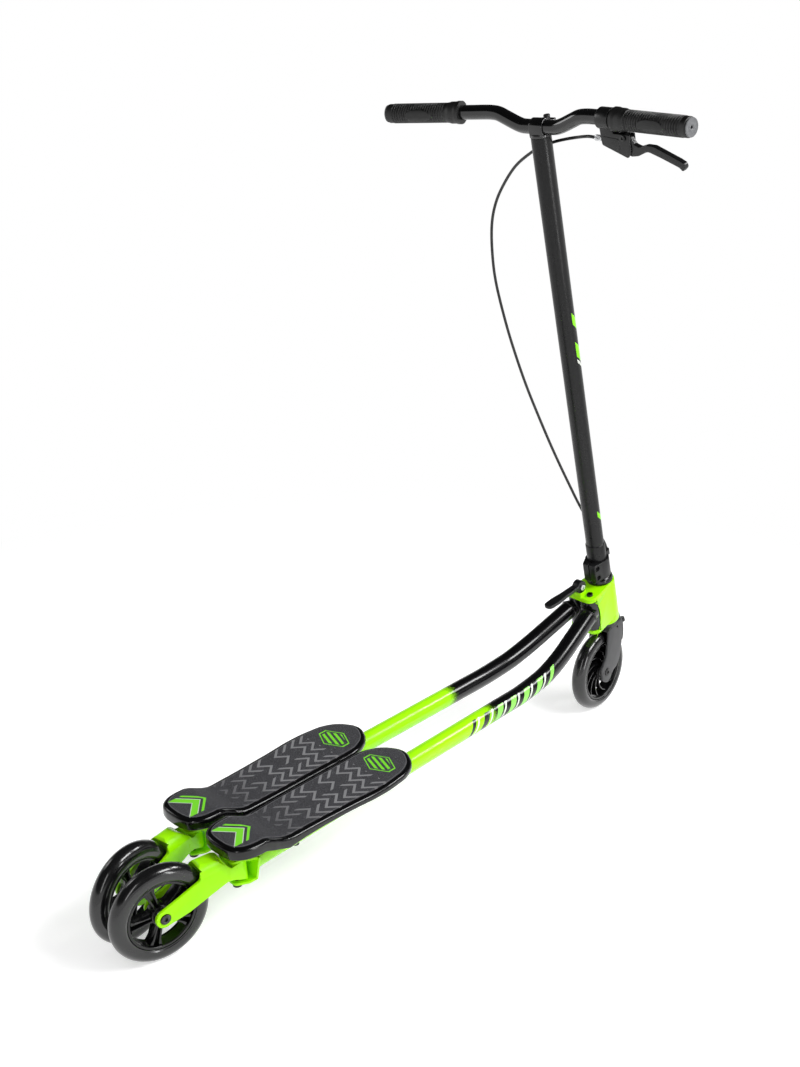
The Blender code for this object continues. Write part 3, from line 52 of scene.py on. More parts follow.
# Sizes shared with the solids
HALF_BASE = 502.5
WHEEL_RADIUS = 75.0
RAKE = 14.87
STEER_AT_REST = 5.3
TRAIL_LINE = 64.2
TUBE_RADIUS = 15.9
REAR_TYRE_WIDTH = 26.6
FRONT_TYRE_WIDTH = 27.0
REAR_RIM_RADIUS = 52.5
FRONT_RIM_RADIUS = 56.0
REAR_SPOKES = 5
FRONT_SPOKES = 12
BOSS_RADIUS = 13.6
BLADE_THICKNESS = 3.4
BLADE_SWEEP = math.radians(50)
STEERER_RADIUS = 14.1
FORK_HALF_GAP = 16.7
CROWN_TOP = 170.0
HEAD_BOTTOM = 180.0
HEAD_TOP = 267.0
HEAD_RADIUS = 26.1
BEARING_SEAT_RADIUS = 21.3
BEARING_SEAT_DEPTH = 7.6
CAP_TOP = 278.4
CLAMP_BOTTOM = 279.0
CLAMP_TOP = 314.3
CLAMP_RADIUS = 21.5
CLAMP_BOLT_BACK = 22.5
COLUMN_TOP = 1083.0
BAR_HEIGHT = 1097.0
BAR_RADIUS = 11.1
BAR_RISE = 19.1
BAR_SWEEP = 8.12
BAR_HALF_LENGTH = 270.1
BAR_STRAIGHT_START = 92.0
STEM_HALF_WIDTH = 12.0
STEM_BOLT_AHEAD = 20.6
GRIP_LENGTH = 133.0
PIN_SIDE = 16.5
PIN_BACK = 50.0
PIN_HOLE = 3.3
PLATE_THICKNESS = 8.0
LOWER_PLATE_BOTTOM = 190.0
LOBE_RADIUS = 14.5
KNUCKLE_RADIUS = 13.6
LOCK_BACK = 57.0
LOCK_HEIGHT = 286.0
LOCK_HUB_RADIUS = 11.2
LOCK_LENGTH = 89.0
LOCK_RISE = 8.0
CASTER_SIDE = 51.3
CASTER_AHEAD = 119.5
CASTER_HEIGHT = 97.0
LEG_SLOPE = 3.57
CASTER_TRAIL = 122.0
AXLE_HOLE = 4.3
YOKE_AT_REST = 9.0
YOKE_HALF_HEIGHT = 18.2
YOKE_HALF_WIDTH = 20.5
YOKE_HALF_GAP = 15.5
BRACKET_WALL = 4.0
BRACKET_FRONT = 19.5
BRACKET_HALF_WIDTHS = (19.0, 31.0)
DECK_RIM = 7.6
DECK_BOLT_AHEAD = (230.0, 400.0)
KEEL_ENDS = (196.0, 436.0)
KEEL_HALF_WIDTH = 19.0
BRAKE_PIVOT = (43.5, 147.0)
HORN_RISE = 9.2
WIRE_AHEAD = 32.0
WIRE_RADIUS = 0.8
CABLE_RADIUS = 2.4
CABLE_END = 206.3
LEVER_PIVOT = (-116.0, -23.5)
LEVER_WIRE_ARM = 7.0
WIRE_LINE = LEVER_PIVOT[1] - LEVER_WIRE_ARM

SIDE = Matrix(((0, 0, 1), (1, 0, 0), (0, 1, 0))).to_4x4()
FACE = Matrix(((1, 0, 0), (0, 0, -1), (0, 1, 0))).to_4x4()
SIDES = (("left", -1), ("right", 1))


# Placing

def turn(degrees, axis):
    return Matrix.Rotation(math.radians(degrees), 4, axis)


def shift(x, y, z):
    return Matrix.Translation((x, y, z))


def aim(start, end):
    """Frame with its origin at start and z pointing to end."""
    start = Vector(start)
    end = Vector(end)
    spin = Vector((0, 0, 1)).rotation_difference(end - start)
    return Matrix.Translation(start) @ spin.to_matrix().to_4x4()


HEAD = shift(0, HALF_BASE + TRAIL_LINE, 0) @ turn(RAKE, "X")
STEER = HEAD @ turn(STEER_AT_REST, "Z")
FRONT_AXLE = HEAD.inverted() @ Vector((0, HALF_BASE, WHEEL_RADIUS))
AXLE_Y = FRONT_AXLE.y
AXLE_Z = FRONT_AXLE.z
BAR_END_BACK = (BAR_HALF_LENGTH - BAR_STRAIGHT_START) * math.tan(math.radians(BAR_SWEEP))


def grip_frame(side):
    """At a bar end: x outwards along the bar, y forward, z up the steering axis."""
    place = shift(side * BAR_HALF_LENGTH, -BAR_END_BACK, BAR_HEIGHT + BAR_RISE)
    return STEER @ place @ turn(-side * BAR_SWEEP, "Z")


def caster_frame(side):
    place = shift(side * CASTER_SIDE, CASTER_AHEAD - HALF_BASE, CASTER_HEIGHT)
    return place @ turn(LEG_SLOPE, "X")


def yoke_frame(side):
    return caster_frame(side) @ turn(-side * YOKE_AT_REST, "Z")


def rear_axle_height():
    """Rear axle height in the caster frame, with the wheel on the ground."""
    lean = math.radians(LEG_SLOPE)
    back = CASTER_TRAIL * math.cos(math.radians(YOKE_AT_REST))
    return (WHEEL_RADIUS - CASTER_HEIGHT + back * math.sin(lean)) / math.cos(lean)


REAR_Z = rear_axle_height()


# Surfaces: a shape is a pair of points (n, 3) and faces

def grid(points, wrap_rows=False):
    """Quads over points shaped (rows, columns, 3); columns always close on themselves."""
    rows, columns = points.shape[:2]
    row = np.arange(rows if wrap_rows else rows - 1)
    column = np.arange(columns)
    a, b = np.meshgrid(row, column, indexing="ij")
    c = (a + 1) % rows
    d = (b + 1) % columns
    corners = np.stack([a * columns + b, a * columns + d, c * columns + d, c * columns + b], axis=-1)
    return points.reshape(-1, 3), corners.reshape(-1, 4).tolist()


def skin(rings, loop=False):
    """Closed body through rings (rows, columns, 3), with flat ends or looped on itself."""
    points, faces = grid(rings, wrap_rows=loop)
    if not loop:
        columns = rings.shape[1]
        faces = faces + [list(range(columns))[::-1], list(range(len(points) - columns, len(points)))]
    return points, faces


def turned(profile, steps=96):
    """Profile (radius, height) turned about z: point = (r cos t, r sin t, h)."""
    profile = np.asarray(profile, float)
    t = np.linspace(0, 2 * np.pi, steps, endpoint=False)
    radius = profile[:, :1]
    rings = np.stack([radius * np.cos(t), radius * np.sin(t), profile[:, 1:] + 0 * t], axis=-1)
    return skin(rings, loop=bool(profile[0, 0] > 0 and profile[-1, 0] > 0))


def rod(start, end, radius, edge=0.0, steps=64):
    """Round bar between two points, its end rims rounded by edge."""
    length = (Vector(end) - Vector(start)).length
    low = [(radius - edge + edge * math.sin(a), edge - edge * math.cos(a))
           for a in np.linspace(0, math.pi / 2, 4)]
    if edge == 0.0:
        low = [(radius, 0)]
    high = [(r, length - h) for r, h in low[::-1]]
    return placed(turned([(0, 0)] + low + high + [(0, length)], steps), aim(start, end))


def crosswise(place, start, end, radius, edge=0.0, steps=64):
    """Round bar along x through (y, z)."""
    return rod((start, *place), (end, *place), radius, edge, steps)


def upright(place, start, end, radius, edge=0.0, steps=64):
    """Round bar along z through (x, y)."""
    return rod((*place, start), (*place, end), radius, edge, steps)


def smooth_curve(points, count):
    """Catmull-Rom curve: on each span a cubic through its ends, with slopes from its neighbours."""
    points = np.asarray(points, float)
    ends = np.vstack([2 * points[0] - points[1], points, 2 * points[-1] - points[-2]])
    place = np.linspace(0, len(points) - 1, count)
    span = np.minimum(place.astype(int), len(points) - 2)
    t = (place - span)[:, None]
    a, b, c, d = ends[span], ends[span + 1], ends[span + 2], ends[span + 3]
    return 0.5 * (2 * b + (c - a) * t + (2 * a - 5 * b + 4 * c - d) * t ** 2
                  + (3 * b - a - 3 * c + d) * t ** 3)


def even(points, spacing):
    """The same curve with points at even distances along it."""
    steps = np.linalg.norm(np.diff(points, axis=0), axis=1)
    length = np.concatenate([[0], np.cumsum(steps)])
    wanted = np.linspace(0, length[-1], max(2, round(length[-1] / spacing) + 1))
    return np.stack([np.interp(wanted, length, points[:, k]) for k in range(3)], axis=1)


def path_rings(path, radius, reference, steps=48):
    """Circles square to the path: point = path + r (cos t side + sin t other)."""
    path = np.asarray(path, float)
    ahead = np.gradient(path, axis=0)
    ahead /= np.linalg.norm(ahead, axis=1, keepdims=True)
    side = np.cross(ahead, np.asarray(reference, float))
    side /= np.linalg.norm(side, axis=1, keepdims=True)
    other = np.cross(ahead, side)
    t = np.linspace(0, 2 * np.pi, steps, endpoint=False)[None, :, None]
    radius = np.broadcast_to(np.asarray(radius, float), (len(path),))[:, None, None]
    return path[:, None] + radius * (np.cos(t) * side[:, None] + np.sin(t) * other[:, None])


def pipe(path, radius, reference=(0, 0, 1), bore=0.0, steps=48):
    """Round tube along a path, open at both ends where it has a bore."""
    outside = path_rings(path, radius, reference, steps)
    if bore == 0.0:
        return skin(outside)
    inside = path_rings(path, bore, reference, steps)
    return skin(np.concatenate([outside, inside[::-1]]), loop=True)


def arc(centre, radius, start, end, count):
    """Points on a circle, angles in degrees."""
    angles = np.radians(np.linspace(start, end, count))
    return [(centre[0] + radius * math.cos(a), centre[1] + radius * math.sin(a)) for a in angles]


def rounded(corners, steps=6):
    """Outline with each corner (x, y, radius) rounded."""
    outline = []
    count = len(corners)
    for i, (x, y, radius) in enumerate(corners):
        here = Vector((x, y))
        before = Vector(corners[i - 1][:2]) - here
        after = Vector(corners[(i + 1) % count][:2]) - here
        if radius <= 0:
            outline.append((x, y))
            continue
        half = before.angle(after) / 2
        cut = min(radius / math.tan(half), before.length * 0.49, after.length * 0.49)
        radius = cut * math.tan(half)
        middle = (before.normalized() + after.normalized()).normalized()
        centre = here + middle * (radius / math.sin(half))
        first = here + before.normalized() * cut - centre
        sweep = first.angle_signed(here + after.normalized() * cut - centre)
        for k in range(steps + 1):
            spot = first.copy()
            spot.rotate(Matrix.Rotation(-sweep * k / steps, 2))
            outline.append(tuple(centre + spot))
    return outline


def inset(outline, distance):
    """Outline moved inwards along the mean normal of its two sides at each point."""
    outline = np.asarray(outline, float)
    after = np.roll(outline, -1, axis=0)
    area = np.sum(outline[:, 0] * after[:, 1] - after[:, 0] * outline[:, 1])
    side = after - outline
    side /= np.maximum(np.linalg.norm(side, axis=1, keepdims=True), 1e-9)
    normal = np.stack([-side[:, 1], side[:, 0]], axis=1) * np.sign(area)
    before = np.roll(normal, 1, axis=0)
    middle = normal + before
    middle /= np.maximum(np.linalg.norm(middle, axis=1, keepdims=True), 1e-9)
    reach = distance / np.maximum(0.5, np.sum(middle * normal, axis=1))
    return outline + middle * reach[:, None]


def slab(outline, low, high, edge=0.0, steps=3):
    """Outline given thickness, its rims quarter circles of radius edge."""
    levels = [(low, 0.0), (high, 0.0)]
    if edge > 0:
        a = np.linspace(0, np.pi / 2, steps + 1)
        rim = np.stack([edge - edge * np.cos(a), edge - edge * np.sin(a)], axis=1)
        levels = [(low + up, inward) for up, inward in rim]
        levels += [(high - up, inward) for up, inward in rim[::-1]]
    rings = []
    for height, inward in levels:
        flat = inset(outline, inward) if inward else np.asarray(outline, float)
        rings.append(np.column_stack([flat, np.full(len(flat), height)]))
    return skin(np.stack(rings))


def block(low, high):
    outline = [(low[0], low[1]), (high[0], low[1]), (high[0], high[1]), (low[0], high[1])]
    return slab(outline, low[2], high[2])


def placed(shape, matrix):
    points, faces = shape
    matrix = np.array(matrix)
    return points @ matrix[:3, :3].T + matrix[:3, 3], faces


def mirrored(shape):
    """The same shape on the other side of x = 0."""
    points, faces = shape
    return points * np.array([-1.0, 1.0, 1.0]), [face[::-1] for face in faces]


def sided(shape, side):
    """A shape of the right side, mirrored for the left side."""
    return shape if side > 0 else mirrored(shape)


def together(*shapes):
    """Several shapes in one mesh, without joining them."""
    points = []
    faces = []
    count = 0
    for shape_points, shape_faces in shapes:
        points.append(shape_points)
        faces += [[index + count for index in face] for face in shape_faces]
        count += len(shape_points)
    return np.concatenate(points), faces


def vertex_places(mesh):
    """The places of a mesh's points in millimetres, as rows."""
    places = np.empty(len(mesh.vertices) * 3)
    mesh.vertices.foreach_get("co", places)
    return places.reshape(-1, 3) / MM


def clean_mesh(name, shape):
    """A mesh in metres with doubles merged and faces outwards."""
    points, faces = shape
    mesh = bpy.data.meshes.new(name)
    mesh.from_pydata(points * MM, [], faces)
    body = bmesh.new()
    body.from_mesh(mesh)
    bmesh.ops.remove_doubles(body, verts=body.verts, dist=MERGE)
    bmesh.ops.dissolve_degenerate(body, edges=body.edges, dist=0.01 * MM)
    bmesh.ops.recalc_face_normals(body, faces=body.faces)
    body.to_mesh(mesh)
    body.free()
    return mesh


def boolean(shape, tool, operation):
    """Join a tool to a shape or cut it out."""
    things = []
    for part in (shape, tool):
        thing = bpy.data.objects.new("work", clean_mesh("work", part))
        bpy.context.scene.collection.objects.link(thing)
        things.append(thing)
    change = things[0].modifiers.new("change", "BOOLEAN")
    change.operation = operation
    change.solver = "EXACT"
    change.object = things[1]
    bpy.context.view_layer.update()
    mesh = things[0].evaluated_get(bpy.context.evaluated_depsgraph_get()).to_mesh()
    points = vertex_places(mesh)
    faces = [list(polygon.vertices) for polygon in mesh.polygons]
    for thing in things:
        bpy.data.objects.remove(thing)
    return points, faces


def joined(shape, *tools):
    for tool in tools:
        shape = boolean(shape, tool, "UNION")
    return shape


def cut(shape, *tools):
    for tool in tools:
        shape = boolean(shape, tool, "DIFFERENCE")
    return shape


def piece(name, body, shape, finish, replaces=(), edge=0.0):
    """Make a finished object that rides on a body; edge rounds its sharp rims."""
    mesh = clean_mesh(name, shape)
    if edge > 0:
        flat = bmesh.new()
        flat.from_mesh(mesh)
        bmesh.ops.dissolve_limit(flat, angle_limit=math.radians(0.6), verts=flat.verts, edges=flat.edges)
        bmesh.ops.remove_doubles(flat, verts=flat.verts, dist=0.12 * MM)
        flat.to_mesh(mesh)
        flat.free()
    mesh.materials.append(finish)
    mesh.shade_smooth()
    thing = bpy.data.objects.new(name, mesh)
    bpy.context.scene.collection.objects.link(thing)
    if edge > 0:
        rim = thing.modifiers.new("rim", "BEVEL")
        rim.width = edge * MM
        rim.segments = 2
        rim.limit_method = "ANGLE"
        rim.angle_limit = BEVEL_ANGLE
        rim.use_clamp_overlap = False
        rim.harden_normals = True
    else:
        mesh.set_sharp_from_angle(angle=SHARP_ANGLE)
    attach(thing, body)
    if replaces:
        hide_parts(*replaces)
    return thing


# Colours and prints, with sizes in millimetres
GREEN = "#A8FA00"
DEEP_GREEN = "#8AEA00"
FADE_START = 148.0
FADE_END = 172.0
BAR_SLANT = 0.7
BAR_ZONE = (5.0, 200.0)
BAR_PERIOD = 32.0
GRIT_SIZE = 1.1
ZIGZAG_WIDTH = 14.0
ZIGZAG_PERIOD = 17.5
ZIGZAG_ZONE = (188.0, 372.0)
ARROW_BANDS = ((124.0, 137.0), (144.0, 149.0))
ARROW_EDGES = ((137.0, 138.6), (122.4, 124.0))
HEXAGON_AHEAD = 400.0
FLASH_AROUND = (-3.0, 34.0)
FLASH_BANDS = ((772.0, 792.0), (715.0, 741.0), (402.0, 414.0))
FLASH_LINE = (704.0, 710.0)


# Materials

def hex_colour(code):
    """sRGB hex to the linear colour that the shaders use."""
    parts = [int(code[i:i + 2], 16) / 255 for i in (1, 3, 5)]
    linear = [c / 12.92 if c <= 0.04045 else ((c + 0.055) / 1.055) ** 2.4 for c in parts]
    return (*linear, 1.0)


def new_material(name):
    material = bpy.data.materials.new(name)
    material.use_nodes = True
    material.node_tree.nodes.clear()
    return material, material.node_tree


def add(tree, kind, settings=None, links=None):
    """Add a node, set its properties and inputs by name, and link sockets into it."""
    node = tree.nodes.new(kind)
    for key, value in (settings or {}).items():
        if isinstance(key, str) and hasattr(node, key):
            setattr(node, key, value)
        else:
            node.inputs[key].default_value = value
    for key, socket in (links or {}).items():
        tree.links.new(socket, node.inputs[key])
    return node


def ramp(tree, value, stops):
    """Colour ramp with (position, colour) stops."""
    node = add(tree, "ShaderNodeValToRGB", {}, {"Fac": value})
    elements = node.color_ramp.elements
    while len(elements) < len(stops):
        elements.new(0.5)
    for element, (position, colour) in zip(elements, stops):
        element.position = position
        element.color = colour
    return node.outputs["Color"]


def grains(tree, size_mm, detail=2.0, rough=0.5):
    """Noise whose lumps are about size_mm across, on object coordinates."""
    coords = add(tree, "ShaderNodeTexCoord")
    noise = add(tree, "ShaderNodeTexNoise",
                {"Scale": 1000.0 / size_mm, "Detail": detail, "Roughness": rough},
                {"Vector": coords.outputs["Object"]})
    return noise.outputs["Fac"]


def bumped(tree, height, strength, depth_mm):
    """Bump from a height, in millimetres."""
    bump = add(tree, "ShaderNodeBump", {"Strength": strength, "Distance": depth_mm * MM},
               {"Height": height})
    return bump.outputs["Normal"]


def spread(tree, value, low, high):
    """Map a noise value, mostly 0.3 to 0.7, to low..high."""
    node = add(tree, "ShaderNodeMapRange",
               {"From Min": 0.3, "From Max": 0.7, "To Min": low, "To Max": high}, {"Value": value})
    return node.outputs["Result"]


def mixed(tree, factor, first, second):
    """Mix two colours by a factor; each may be a colour or a socket."""
    node = add(tree, "ShaderNodeMix", {"data_type": "RGBA"})
    for index, value in ((0, factor), (6, first), (7, second)):
        if isinstance(value, bpy.types.NodeSocket):
            tree.links.new(value, node.inputs[index])
        else:
            node.inputs[index].default_value = value
    return node.outputs[2]


def finished(tree, settings, links):
    """Principled surface and output."""
    shader = add(tree, "ShaderNodeBsdfPrincipled", settings, links)
    add(tree, "ShaderNodeOutputMaterial", {}, {"Surface": shader.outputs["BSDF"]})


def worn_colour(tree, base, dust, size_mm=30.0, amount=0.35):
    """Base colour with broad, faint changes towards dust."""
    cloud = grains(tree, size_mm, 3.0)
    share = spread(tree, cloud, 0.0, amount)
    return mixed(tree, share, base, dust)


def gloss_paint(name, code, deeper, roughness=0.22, coat=0.6, shine=0.5):
    """Sprayed and baked enamel: wet gloss over a faint orange peel."""
    material, tree = new_material(name)
    colour = worn_colour(tree, hex_colour(code), hex_colour(deeper), 60.0, 0.35)
    peel = grains(tree, 2.2, 1.0)
    haze = spread(tree, grains(tree, 24.0, 2.0), roughness - 0.03, roughness + 0.05)
    finished(tree, {"Coat Weight": coat, "Coat Roughness": 0.06, "IOR": 1.5, "Specular IOR Level": shine},
             {"Base Color": colour, "Roughness": haze, "Normal": bumped(tree, peel, 0.06, 0.04)})
    return material


def satin_paint(name, code, lighter, roughness=0.42, shine=0.5):
    """Powder coat: fine even texture that spreads the highlights."""
    material, tree = new_material(name)
    colour = worn_colour(tree, hex_colour(code), hex_colour(lighter), 40.0, 0.4)
    powder = grains(tree, 0.7, 2.0)
    haze = spread(tree, grains(tree, 18.0, 2.0), roughness - 0.04, roughness + 0.05)
    finished(tree, {"IOR": 1.5, "Specular IOR Level": shine},
             {"Base Color": colour, "Roughness": haze, "Normal": bumped(tree, powder, 0.25, 0.04)})
    return material


def moulded_plastic(name, code, lighter, roughness=0.3):
    """Injection moulded nylon: smooth skin with slow ripples from the mould."""
    material, tree = new_material(name)
    colour = worn_colour(tree, hex_colour(code), hex_colour(lighter), 22.0, 0.3)
    ripple = grains(tree, 9.0, 1.0)
    haze = spread(tree, grains(tree, 12.0, 2.0), roughness - 0.05, roughness + 0.07)
    finished(tree, {"IOR": 1.49},
             {"Base Color": colour, "Roughness": haze, "Normal": bumped(tree, ripple, 0.1, 0.1)})
    return material


def soft_rubber(name, code, lighter, roughness=0.68):
    """Moulded rubber: dull, with a fine grain and pale bloom."""
    material, tree = new_material(name)
    colour = worn_colour(tree, hex_colour(code), hex_colour(lighter), 16.0, 0.5)
    grain = grains(tree, 0.6, 2.0)
    haze = spread(tree, grains(tree, 10.0, 2.0), roughness - 0.06, roughness + 0.08)
    finished(tree, {"IOR": 1.52},
             {"Base Color": colour, "Roughness": haze, "Normal": bumped(tree, grain, 0.35, 0.06)})
    return material


def cast_urethane(name, code, lighter):
    """Cast polyurethane tread: waxy and semi-gloss, with a dusty bloom."""
    material, tree = new_material(name)
    colour = worn_colour(tree, hex_colour(code), hex_colour(lighter), 20.0, 0.5)
    ripple = grains(tree, 6.0, 2.0)
    haze = spread(tree, grains(tree, 14.0, 3.0), 0.2, 0.28)
    finished(tree, {"IOR": 1.5, "Specular IOR Level": 0.35, "Coat Weight": 0.6, "Coat Roughness": 0.04},
             {"Base Color": colour, "Roughness": haze, "Normal": bumped(tree, ripple, 0.06, 0.05)})
    return material


def machined_metal(name, code, roughness=0.28):
    """Turned or plated metal: fine rings of tool marks and small stains."""
    material, tree = new_material(name)
    coords = add(tree, "ShaderNodeTexCoord")
    marks = add(tree, "ShaderNodeTexNoise", {"Scale": 900.0, "Detail": 2.0},
                {"Vector": coords.outputs["Object"]}).outputs["Fac"]
    colour = worn_colour(tree, hex_colour(code), hex_colour("#8E8E8C"), 6.0, 0.35)
    haze = spread(tree, grains(tree, 4.0, 2.0), roughness - 0.06, roughness + 0.1)
    finished(tree, {"Metallic": 1.0},
             {"Base Color": colour, "Roughness": haze, "Normal": bumped(tree, marks, 0.2, 0.02)})
    return material


def math_node(tree, operation, first, second=0.0):
    """One arithmetic step on numbers or sockets."""
    node = add(tree, "ShaderNodeMath", {"operation": operation})
    for index, value in enumerate((first, second)):
        if isinstance(value, bpy.types.NodeSocket):
            tree.links.new(value, node.inputs[index])
        else:
            node.inputs[index].default_value = value
    return node.outputs["Value"]


def sum_of(tree, first, second):
    return math_node(tree, "ADD", first, second)


def product(tree, first, second):
    return math_node(tree, "MULTIPLY", first, second)


def stripe(tree, value, period, fill):
    """1 on the bars of a repeating stripe, else 0."""
    share = math_node(tree, "FRACT", math_node(tree, "DIVIDE", value, period))
    return math_node(tree, "LESS_THAN", share, fill)


def between(tree, value, low, high):
    """1 where the value lies between two numbers."""
    above = math_node(tree, "GREATER_THAN", value, low)
    below = math_node(tree, "LESS_THAN", value, high)
    return product(tree, above, below)


def soft_step(tree, value, start, stop, first=0.0, last=1.0):
    """From first to last while the value goes from start to stop, without a crease."""
    limits = {"From Min": start, "From Max": stop, "To Min": first, "To Max": last}
    return add(tree, "ShaderNodeMapRange", {**limits, "interpolation_type": "SMOOTHSTEP"},
               {"Value": value}).outputs["Result"]


def fade_to_black(tree, coords, ahead):
    """0 on the green rear and 1 on the black front; the edge wanders with a noise, as sprayed."""
    mist = add(tree, "ShaderNodeTexNoise", {"Scale": 350.0, "Detail": 2.0},
               {"Vector": coords.outputs["Object"]}).outputs["Fac"]
    drift = add(tree, "ShaderNodeMath", {"operation": "MULTIPLY_ADD", 1: 0.02},
                {0: mist, 2: ahead}).outputs["Value"]
    return soft_step(tree, drift, FADE_START * MM, FADE_END * MM)


def leg_paint(name):
    """Enamel sprayed from green to black, with green and white slanted bars on the outer side."""
    material, tree = new_material(name)
    coords = add(tree, "ShaderNodeTexCoord")
    place = add(tree, "ShaderNodeSeparateXYZ", {}, {"Vector": coords.outputs["Object"]})
    fade = fade_to_black(tree, coords, place.outputs["Y"])
    green = worn_colour(tree, hex_colour(GREEN), hex_colour(DEEP_GREEN), 60.0, 0.3)
    colour = mixed(tree, fade, green, hex_colour("#050506"))
    along = math_node(tree, "DIVIDE", place.outputs["Y"], MM)
    drop = math_node(tree, "DIVIDE", place.outputs["Z"], MM)
    slant = math_node(tree, "SUBTRACT", along, product(tree, drop, BAR_SLANT))
    normal = add(tree, "ShaderNodeSeparateXYZ", {}, {"Vector": coords.outputs["Normal"]}).outputs["X"]
    outwards = product(tree, normal, math_node(tree, "SIGN", place.outputs["X"]))
    zone = product(tree, between(tree, outwards, 0.5, 1.1), between(tree, slant, *BAR_ZONE))
    wide_bars = product(tree, zone, stripe(tree, slant, BAR_PERIOD, 0.4))
    share = math_node(tree, "MODULO", slant, BAR_PERIOD)
    thin_bars = product(tree, zone, between(tree, share, 17.0, 21.0))
    bar_colour = mixed(tree, fade, hex_colour("#2A2C28"), hex_colour("#8FE060"))
    colour = mixed(tree, wide_bars, colour, bar_colour)
    colour = mixed(tree, thin_bars, colour, hex_colour("#DFE6DA"))
    peel = grains(tree, 2.2, 1.0)
    haze = spread(tree, grains(tree, 60.0, 1.0), 0.21, 0.26)
    finished(tree, {"Coat Weight": 0.35, "Coat Roughness": 0.08, "IOR": 1.5, "Specular IOR Level": 0.35},
             {"Base Color": colour, "Roughness": haze, "Normal": bumped(tree, peel, 0.02, 0.02)})
    return material


def zigzag_print(tree, across, along):
    """Zigzag bars, broken up by chance; a bar's height = along + 1.1 times the folded width."""
    shifted = sum_of(tree, across, 15 * ZIGZAG_WIDTH)
    folded = math_node(tree, "PINGPONG", shifted, ZIGZAG_WIDTH)
    slanted = sum_of(tree, along, product(tree, folded, 1.1))
    bars = stripe(tree, slanted, ZIGZAG_PERIOD, 0.33)
    row = math_node(tree, "FLOOR", math_node(tree, "DIVIDE", slanted, ZIGZAG_PERIOD))
    column = math_node(tree, "FLOOR", math_node(tree, "DIVIDE", shifted, ZIGZAG_WIDTH))
    seed = add(tree, "ShaderNodeCombineXYZ", {}, {"X": row, "Y": column})
    chance = add(tree, "ShaderNodeTexWhiteNoise", {"noise_dimensions": "2D"},
                 {"Vector": seed.outputs["Vector"]})
    kept = math_node(tree, "GREATER_THAN", chance.outputs["Value"], 0.28)
    rise = add(tree, "ShaderNodeMapRange", {"From Min": 150.0, "From Max": 270.0}, {"Value": along})
    zone = product(tree, between(tree, along, *ZIGZAG_ZONE), rise.outputs["Result"])
    return product(tree, zone, product(tree, bars, kept))


def arrow_print(tree, wide, along, bands):
    """Nested arrow heads at the tail: bands of along + 0.9 times the distance from the middle."""
    arrow = sum_of(tree, along, product(tree, wide, 0.9))
    first, second = (between(tree, arrow, low, high) for low, high in bands)
    return product(tree, sum_of(tree, first, second), math_node(tree, "LESS_THAN", wide, 27.0))


def hexagon_print(tree, across, wide, along):
    """Hexagon outline round slanted bars, near the front."""
    from_middle = math_node(tree, "ABSOLUTE", math_node(tree, "SUBTRACT", along, HEXAGON_AHEAD))
    slope = sum_of(tree, product(tree, wide, 0.5), from_middle)
    reach = math_node(tree, "MAXIMUM", slope, product(tree, wide, 0.74))
    slanted = sum_of(tree, along, product(tree, across, 0.35))
    inside = math_node(tree, "LESS_THAN", reach, 16.5)
    bars = product(tree, inside, stripe(tree, slanted, 9.0, 0.5))
    return sum_of(tree, between(tree, reach, 19.5, 21.3), bars)


def grip_tape_material(name):
    """Abrasive sheet: dark grit with printed grey zigzags and green badges without words."""
    material, tree = new_material(name)
    coords = add(tree, "ShaderNodeTexCoord")
    attribute = add(tree, "ShaderNodeAttribute", {"attribute_name": "deck"})
    place = add(tree, "ShaderNodeSeparateXYZ", {}, {"Vector": attribute.outputs["Vector"]})
    across = place.outputs["X"]
    along = place.outputs["Y"]
    wide = math_node(tree, "ABSOLUTE", across)
    grit = add(tree, "ShaderNodeTexNoise",
               {"Scale": 1.0 / (GRIT_SIZE * MM), "Detail": 3.0, "Roughness": 0.7},
               {"Vector": coords.outputs["Object"]}).outputs["Fac"]
    colour = ramp(tree, grit, [(0.38, hex_colour("#232325")), (0.56, hex_colour("#3C3C40")),
                               (0.74, hex_colour("#7A7A80"))])
    ink = product(tree, zigzag_print(tree, across, along), 0.75)
    colour = mixed(tree, ink, colour, hex_colour("#8C8C8E"))
    badges = sum_of(tree, arrow_print(tree, wide, along, ARROW_BANDS),
                    hexagon_print(tree, across, wide, along))
    colour = mixed(tree, math_node(tree, "MINIMUM", badges, 1.0), colour, hex_colour("#74D81E"))
    colour = mixed(tree, arrow_print(tree, wide, along, ARROW_EDGES), colour, hex_colour("#C9CEC4"))
    finished(tree, {"Roughness": 0.82, "IOR": 1.5},
             {"Base Color": colour, "Normal": bumped(tree, grit, 0.7, 0.35)})
    return material


def column_paint(name):
    """Satin black tube with slanted green bands and a pale line on its right side."""
    material, tree = new_material(name)
    around = add(tree, "ShaderNodeAttribute", {"attribute_name": "around"}).outputs["Fac"]
    height = add(tree, "ShaderNodeAttribute", {"attribute_name": "height"}).outputs["Fac"]
    base = worn_colour(tree, hex_colour("#0C0C0D"), hex_colour("#131314"), 40.0, 0.4)
    slant = sum_of(tree, height, product(tree, around, 1.2))
    window = between(tree, around, *FLASH_AROUND)
    top, middle, foot = (between(tree, slant, low, high) for low, high in FLASH_BANDS)
    bands = math_node(tree, "MAXIMUM", top, sum_of(tree, middle, foot))
    pale = product(tree, window, between(tree, slant, *FLASH_LINE))
    colour = mixed(tree, product(tree, window, bands), base, hex_colour("#7FDB10"))
    colour = mixed(tree, pale, colour, hex_colour("#C8CCC4"))
    powder = grains(tree, 0.7, 2.0)
    haze = spread(tree, grains(tree, 18.0, 2.0), 0.26, 0.33)
    finished(tree, {"IOR": 1.5, "Specular IOR Level": 0.3},
             {"Base Color": colour, "Roughness": haze, "Normal": bumped(tree, powder, 0.15, 0.03)})
    return material


